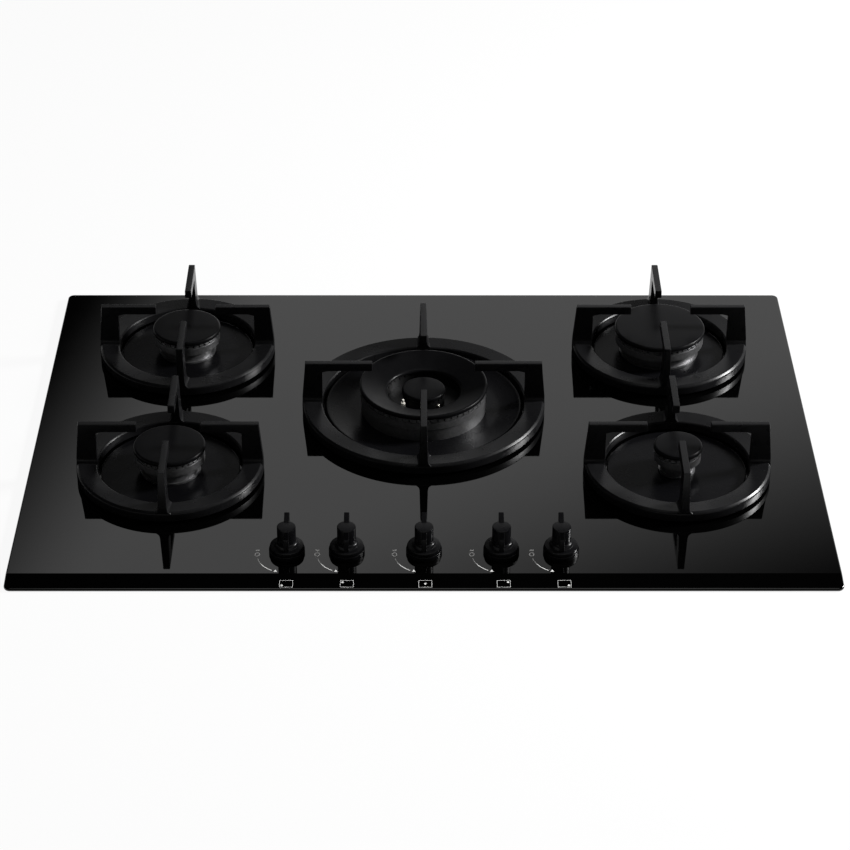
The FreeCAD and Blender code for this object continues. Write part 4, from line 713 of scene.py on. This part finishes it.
class COOKTOP_OT_marks(bpy.types.Operator):
    """Print the plain white setting marks beside and below each knob"""
    bl_idname = "cooktop.marks"
    bl_label = "Printed marks"

    # The ink's thickness, and the gap that keeps it off the glass, in millimetres.
    ink, gap = 0.08, 0.005
    # The burner's side in each sign: left or right, front or back.
    dots = {"front_left": (-1, -1), "rear_left": (-1, 1), "centre": (0, 0), "rear_right": (1, 1),
            "front_right": (1, -1)}

    def execute(self, context):
        marks = []
        for name in BURNERS:
            marks += self.setting_marks(KNOB_PLACES[name])
            marks.append(self.burner_sign(name))
        piece = tidy_normals(joined("printed_marks", marks), merge=0.001)
        settle(piece, "cooktop", (), finish("white_screen_print"))
        return {"FINISHED"}

    def thicken(self, piece):
        """Raise a flat shape by the ink's thickness."""
        edit(piece, "FACE")
        bpy.ops.mesh.select_all(action="SELECT")
        bpy.ops.mesh.extrude_region_move(TRANSFORM_OT_translate={"value": (0, 0, self.ink * MM)})
        bpy.ops.object.mode_set(mode="OBJECT")
        return piece

    def flat(self, name, x, y, width, depth, sides=4):
        """A flat shape on the glass, round its centre."""
        nothing_selected()
        place = (x * MM, y * MM, (GLASS_TOP + self.gap) * MM)
        if sides == 4:
            bpy.ops.mesh.primitive_plane_add(size=1, location=place)
        else:
            bpy.ops.mesh.primitive_circle_add(vertices=sides, radius=0.5, fill_type="NGON", location=place)
        bpy.context.active_object.scale = (width * MM, depth * MM, 1)
        return added(name)

    def outline(self, piece, line):
        """Leave only the rim of a flat shape."""
        edit(piece, "FACE")
        bpy.ops.mesh.select_all(action="SELECT")
        bpy.ops.mesh.inset(thickness=line * MM, use_even_offset=True)
        bpy.ops.mesh.delete(type="FACE")
        bpy.ops.object.mode_set(mode="OBJECT")
        return piece

    def setting_marks(self, place):
        """Off, large flame, and an arc down to the small flame, to the left of a knob."""
        x, y = place
        off = self.thicken(self.flat("off_mark", x - 26.6, y + 1.8, 3.6, 2.1))
        flame = self.thicken(self.outline(self.flat("flame_mark", x - 26.7, y - 4.5, 5.0, 6.2, 24), 1.0))
        end = self.thicken(self.flat("low_mark", x - 9.2, y - 30.0, 3.9, 4.2, 3))
        # The arc runs from the flame down and round towards the end mark.
        reach, start, sweep = 28.1, 12.4, 47.4
        middle_x, middle_y = x + 1.4, y - 4.6
        line = 0.7
        arc = self.flat("arc_mark", middle_x - reach, middle_y, line, 0.4)
        edit(arc, "VERT")
        pick(arc, lambda p, n: p.y > middle_y)
        bpy.ops.mesh.delete(type="VERT")
        bpy.ops.mesh.select_all(action="SELECT")
        centre = (middle_x * MM, middle_y * MM, GLASS_TOP * MM)
        bpy.ops.transform.rotate(value=-math.radians(start), orient_axis="Z", center_override=centre)
        bpy.ops.mesh.spin(steps=16, angle=math.radians(sweep), center=centre, axis=(0, 0, -1))
        bpy.ops.object.mode_set(mode="OBJECT")
        return [off, flame, end, self.thicken(arc)]

    def burner_sign(self, name):
        """A small frame on the front facet with a dot at the burner's place."""
        x, _ = KNOB_PLACES[name]
        front = GLASS_LOW.y
        x, y = x + 1.1, front + 6.6
        width, depth, line, dot_size = 12, 8.8, 0.32, 2.2
        sign = self.outline(self.flat("sign", x, y, width, depth), line)
        across, up = self.dots[name]
        dot = self.flat("sign_dot", x + across * 3.9, y + up * 2.0, dot_size, dot_size, 16)
        # It is drawn level and then laid on the slope of the facet.
        piece = joined("sign", [self.thicken(sign), self.thicken(dot)])
        only(piece)
        bpy.ops.object.mode_set(mode="EDIT")
        bpy.ops.mesh.select_all(action="SELECT")
        ridge = (0, (front + sizes().facet_width) * MM, GLASS_TOP * MM)
        slope = math.atan2(sizes().facet_drop, sizes().facet_width)
        bpy.ops.transform.rotate(value=-slope, orient_axis="X", center_override=ridge)
        bpy.ops.object.mode_set(mode="OBJECT")
        return piece


class COOKTOP_OT_finishes(bpy.types.Operator):
    """Give every CAD piece that stays its real finish"""
    bl_idname = "cooktop.finishes"
    bl_label = "Finishes"

    def execute(self, context):
        for name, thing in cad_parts.items():
            wanted = NODE_FINISHES.get(name)
            if wanted is None:
                wanted = next(value for key, value in PIECE_FINISHES.items() if name.endswith(key))
            thing.data.materials.clear()
            thing.data.materials.append(finish(wanted))
        return {"FINISHED"}


class COOKTOP_OT_stage(bpy.types.Operator):
    """Set up the worktop, the softboxes, the white surroundings and the camera"""
    bl_idname = "cooktop.stage"
    bl_label = "Stage"

    def execute(self, context):
        self.floor()
        self.lights()
        self.surroundings()
        self.camera()
        context.scene.view_settings.view_transform = "Standard"
        return {"FINISHED"}

    def floor(self):
        """A pale worktop just under the glass, with a cut-out for the burner box."""
        nothing_selected()
        floor_size, below, clearance, white_share = 9, 0.05, 2, 0.92
        bpy.ops.mesh.primitive_plane_add(size=floor_size, location=(0, 0, (GLASS_LOW.z - below) * MM))
        floor = added("worktop_floor")
        edit(floor, "FACE")
        bpy.ops.mesh.select_all(action="SELECT")
        low, high = box_mm("burner_box")
        for x in (low.x - clearance, high.x + clearance):
            cut_level((x, 0, 0), (1, 0, 0))
        for y in (low.y - clearance, high.y + clearance):
            cut_level((0, y, 0), (0, 1, 0))
        pick(floor, lambda place, normal: low.x < place.x < high.x and low.y < place.y < high.y,
             "FACE")
        bpy.ops.mesh.delete(type="FACE")
        bpy.ops.object.mode_set(mode="OBJECT")
        material = bpy.data.materials.new("white_worktop")
        material.use_nodes = True
        tree = material.node_tree
        tree.nodes.clear()
        colour = (*bpy.context.scene.cooktop_stage.floor_colour, 1)
        # Looked at, straight or in a reflection, it is nearly white and keeps a little of the shadow.
        matt = node(tree, "ShaderNodeBsdfDiffuse", Color=colour)
        white = node(tree, "ShaderNodeEmission", Color=(1, 1, 1, 1), Strength=1.0)
        path = node(tree, "ShaderNodeLightPath")
        seen = node(tree, "ShaderNodeMath", {"operation": "MAXIMUM"},
                    n0=path.outputs["Is Camera Ray"], n1=path.outputs["Is Glossy Ray"])
        seen = node(tree, "ShaderNodeMath", {"operation": "MAXIMUM"},
                    n0=seen.outputs[0], n1=path.outputs["Is Transmission Ray"])
        share = node(tree, "ShaderNodeMath", {"operation": "MULTIPLY"}, n0=seen.outputs[0],
                     n1=white_share)
        top = node(tree, "ShaderNodeMixShader", Fac=share.outputs[0], n1=matt.outputs[0],
                   n2=white.outputs[0])
        # From below the worktop is clear, so that the underside of the cooktop can be looked at.
        clear = node(tree, "ShaderNodeBsdfTransparent")
        side = node(tree, "ShaderNodeNewGeometry")
        whole = node(tree, "ShaderNodeMixShader", Fac=side.outputs["Backfacing"],
                     n1=top.outputs[0], n2=clear.outputs[0])
        node(tree, "ShaderNodeOutputMaterial", Surface=whole.outputs[0])
        floor.data.materials.append(material)

    def lights(self):
        """One softbox on the right and one overhead, in metres."""
        wanted = bpy.context.scene.cooktop_stage
        for name, power, place, aim, width, height in (
                ("side_softbox", wanted.side_light, (1.75, 0.32, 1.0), (0, 0, 0.06), 0.4, 0.34),
                ("top_softbox", wanted.top_light, (0.1, -0.2, 2.1), (0, 0, 0.05), 1.6, 1.2)):
            data = bpy.data.lights.new(name, "AREA")
            data.shape = "RECTANGLE"
            data.size, data.size_y = width, height
            data.energy = power
            lamp = bpy.data.objects.new(name, data)
            bpy.context.scene.collection.objects.link(lamp)
            lamp.location = place
            lamp.rotation_euler = (Vector(aim) - Vector(place)).to_track_quat("-Z", "Y").to_euler()

    def surroundings(self):
        """A white sheet behind the cooktop and a dark room elsewhere, for reflections; white to look at."""
        world = bpy.data.worlds.new("white_sheet_in_a_dark_room")
        bpy.context.scene.world = world
        world.use_nodes = True
        tree = world.node_tree
        tree.nodes.clear()
        direction = node(tree, "ShaderNodeTexCoord").outputs["Generated"]
        x, y, z = node(tree, "ShaderNodeSeparateXYZ", Vector=direction).outputs
        # Degrees to the right of straight behind the cooktop, and degrees up.
        degrees = 57.3
        # How bright each part of the room is in a reflection, and for all other light.
        room, horizon, sheet_light, soft_light = 0.004, 0.4, 0.765, 0.09
        turned = node(tree, "ShaderNodeMath", {"operation": "ARCTAN2"}, n0=x, n1=y)
        across = node(tree, "ShaderNodeMath", {"operation": "MULTIPLY"}, n0=turned.outputs[0], n1=degrees)
        climbed = node(tree, "ShaderNodeMath", {"operation": "ARCSINE"}, n0=z)
        up = node(tree, "ShaderNodeMath", {"operation": "MULTIPLY"}, n0=climbed.outputs[0], n1=degrees)
        across, up = across.outputs[0], up.outputs[0]
        # The sheet's top edge leans, and so does its left edge, which turns upright near the floor.
        top_lean, left_lean, upright_below = 0.38, 0.9, 26.0
        height = node(tree, "ShaderNodeMath", {"operation": "MULTIPLY_ADD"}, n0=across, n1=top_lean,
                      n2=up)
        under_top = node(tree, "ShaderNodeMapRange", {"interpolation_type": "SMOOTHSTEP"},
                         Value=height.outputs[0], From_Min=40.8, From_Max=33.8)
        raised = node(tree, "ShaderNodeMath", {"operation": "MAXIMUM"}, n0=up, n1=upright_below)
        side = node(tree, "ShaderNodeMath", {"operation": "MULTIPLY_ADD"}, n0=raised.outputs[0],
                    n1=left_lean, n2=across)
        past_left = node(tree, "ShaderNodeMapRange", {"interpolation_type": "SMOOTHSTEP"},
                         Value=side.outputs[0], From_Min=18.1, From_Max=23.6)
        before_right = node(tree, "ShaderNodeMapRange", {"interpolation_type": "SMOOTHSTEP"},
                            Value=across, From_Min=40.0, From_Max=25.0)
        both = node(tree, "ShaderNodeMath", {"operation": "MULTIPLY"}, n0=under_top.outputs["Result"],
                    n1=past_left.outputs["Result"])
        sheet = node(tree, "ShaderNodeMath", {"operation": "MULTIPLY"}, n0=both.outputs[0],
                     n1=before_right.outputs["Result"])
        # The pale worktop runs on to the horizon, so a low band of the room is pale as well.
        band = node(tree, "ShaderNodeMapRange", {"interpolation_type": "SMOOTHSTEP"}, Value=up,
                    From_Min=17.0, From_Max=6.0, To_Min=room, To_Max=horizon)
        mirrored = node(tree, "ShaderNodeMath", {"operation": "MULTIPLY_ADD"}, n0=sheet.outputs[0],
                        n1=sheet_light, n2=band.outputs["Result"])
        path = node(tree, "ShaderNodeLightPath")
        plain = node(tree, "ShaderNodeMix", {"data_type": "FLOAT"}, n0=path.outputs["Is Glossy Ray"],
                     n2=soft_light, n3=mirrored.outputs[0])
        level = node(tree, "ShaderNodeMix", {"data_type": "FLOAT"}, n0=path.outputs["Is Camera Ray"],
                     n2=plain.outputs[0], n3=1.0)
        light = node(tree, "ShaderNodeBackground", Color=(1, 1, 1, 1), Strength=level.outputs[0])
        node(tree, "ShaderNodeOutputWorld", Surface=light.outputs[0])

    def camera(self):
        """The camera at the photograph's place, in metres and degrees."""
        tilt, roll, swing = 32.8, 0.106, -0.19
        data = bpy.data.cameras.new("camera")
        camera = bpy.data.objects.new("camera", data)
        bpy.context.scene.collection.objects.link(camera)
        photo_width = 850
        focal_px = 2574.7
        data.sensor_fit = "HORIZONTAL"
        data.sensor_width = 36
        data.lens = focal_px / photo_width * data.sensor_width
        camera.location = (-0.0056, -2.107, GLASS_TOP * MM + 1.3612)
        turn = (Matrix.Rotation(math.radians(swing), 3, "Z")
                @ Matrix.Rotation(math.radians(90 - tilt), 3, "X")
                @ Matrix.Rotation(math.radians(roll), 3, "Z"))
        camera.rotation_euler = turn.to_euler()
        bpy.context.scene.camera = camera


class COOKTOP_PT_panel(bpy.types.Panel):
    """Lists the cooktop's pieces"""
    bl_idname = "COOKTOP_PT_panel"
    bl_label = "Cooktop"
    bl_space_type = "VIEW_3D"
    bl_region_type = "UI"
    bl_category = "Cooktop"

    def draw(self, context):
        for group in (context.scene.cooktop_sizes, context.scene.cooktop_stage):
            for name in group.bl_rna.properties.keys():
                if name not in ("rna_type", "name"):
                    self.layout.prop(group, name)
        for operator in OPERATORS:
            self.layout.operator(operator.bl_idname)


OPERATORS = (COOKTOP_OT_finishes, COOKTOP_OT_glass, COOKTOP_OT_supports, COOKTOP_OT_plates, COOKTOP_OT_caps,
             COOKTOP_OT_knobs, COOKTOP_OT_marks, COOKTOP_OT_stage)
CLASSES = (CooktopSizes, CooktopStage, *OPERATORS, COOKTOP_PT_panel)


def register():
    """Make the operators, the panel and the settings known to Blender."""
    for kind in CLASSES:
        bpy.utils.register_class(kind)
    bpy.types.Scene.cooktop_sizes = PointerProperty(type=CooktopSizes)
    bpy.types.Scene.cooktop_stage = PointerProperty(type=CooktopStage)


def unregister():
    """Take them out again."""
    del bpy.types.Scene.cooktop_stage
    del bpy.types.Scene.cooktop_sizes
    for kind in reversed(CLASSES):
        bpy.utils.unregister_class(kind)


def main():
    """Build every piece and the stage."""
    register()
    for operator in OPERATORS:
        step = getattr(bpy.ops.cooktop, operator.bl_idname.split(".")[1])
        if step() != {"FINISHED"}:
            raise RuntimeError(f"{operator.bl_label} did not finish")


if __name__ == "__main__":
    main()
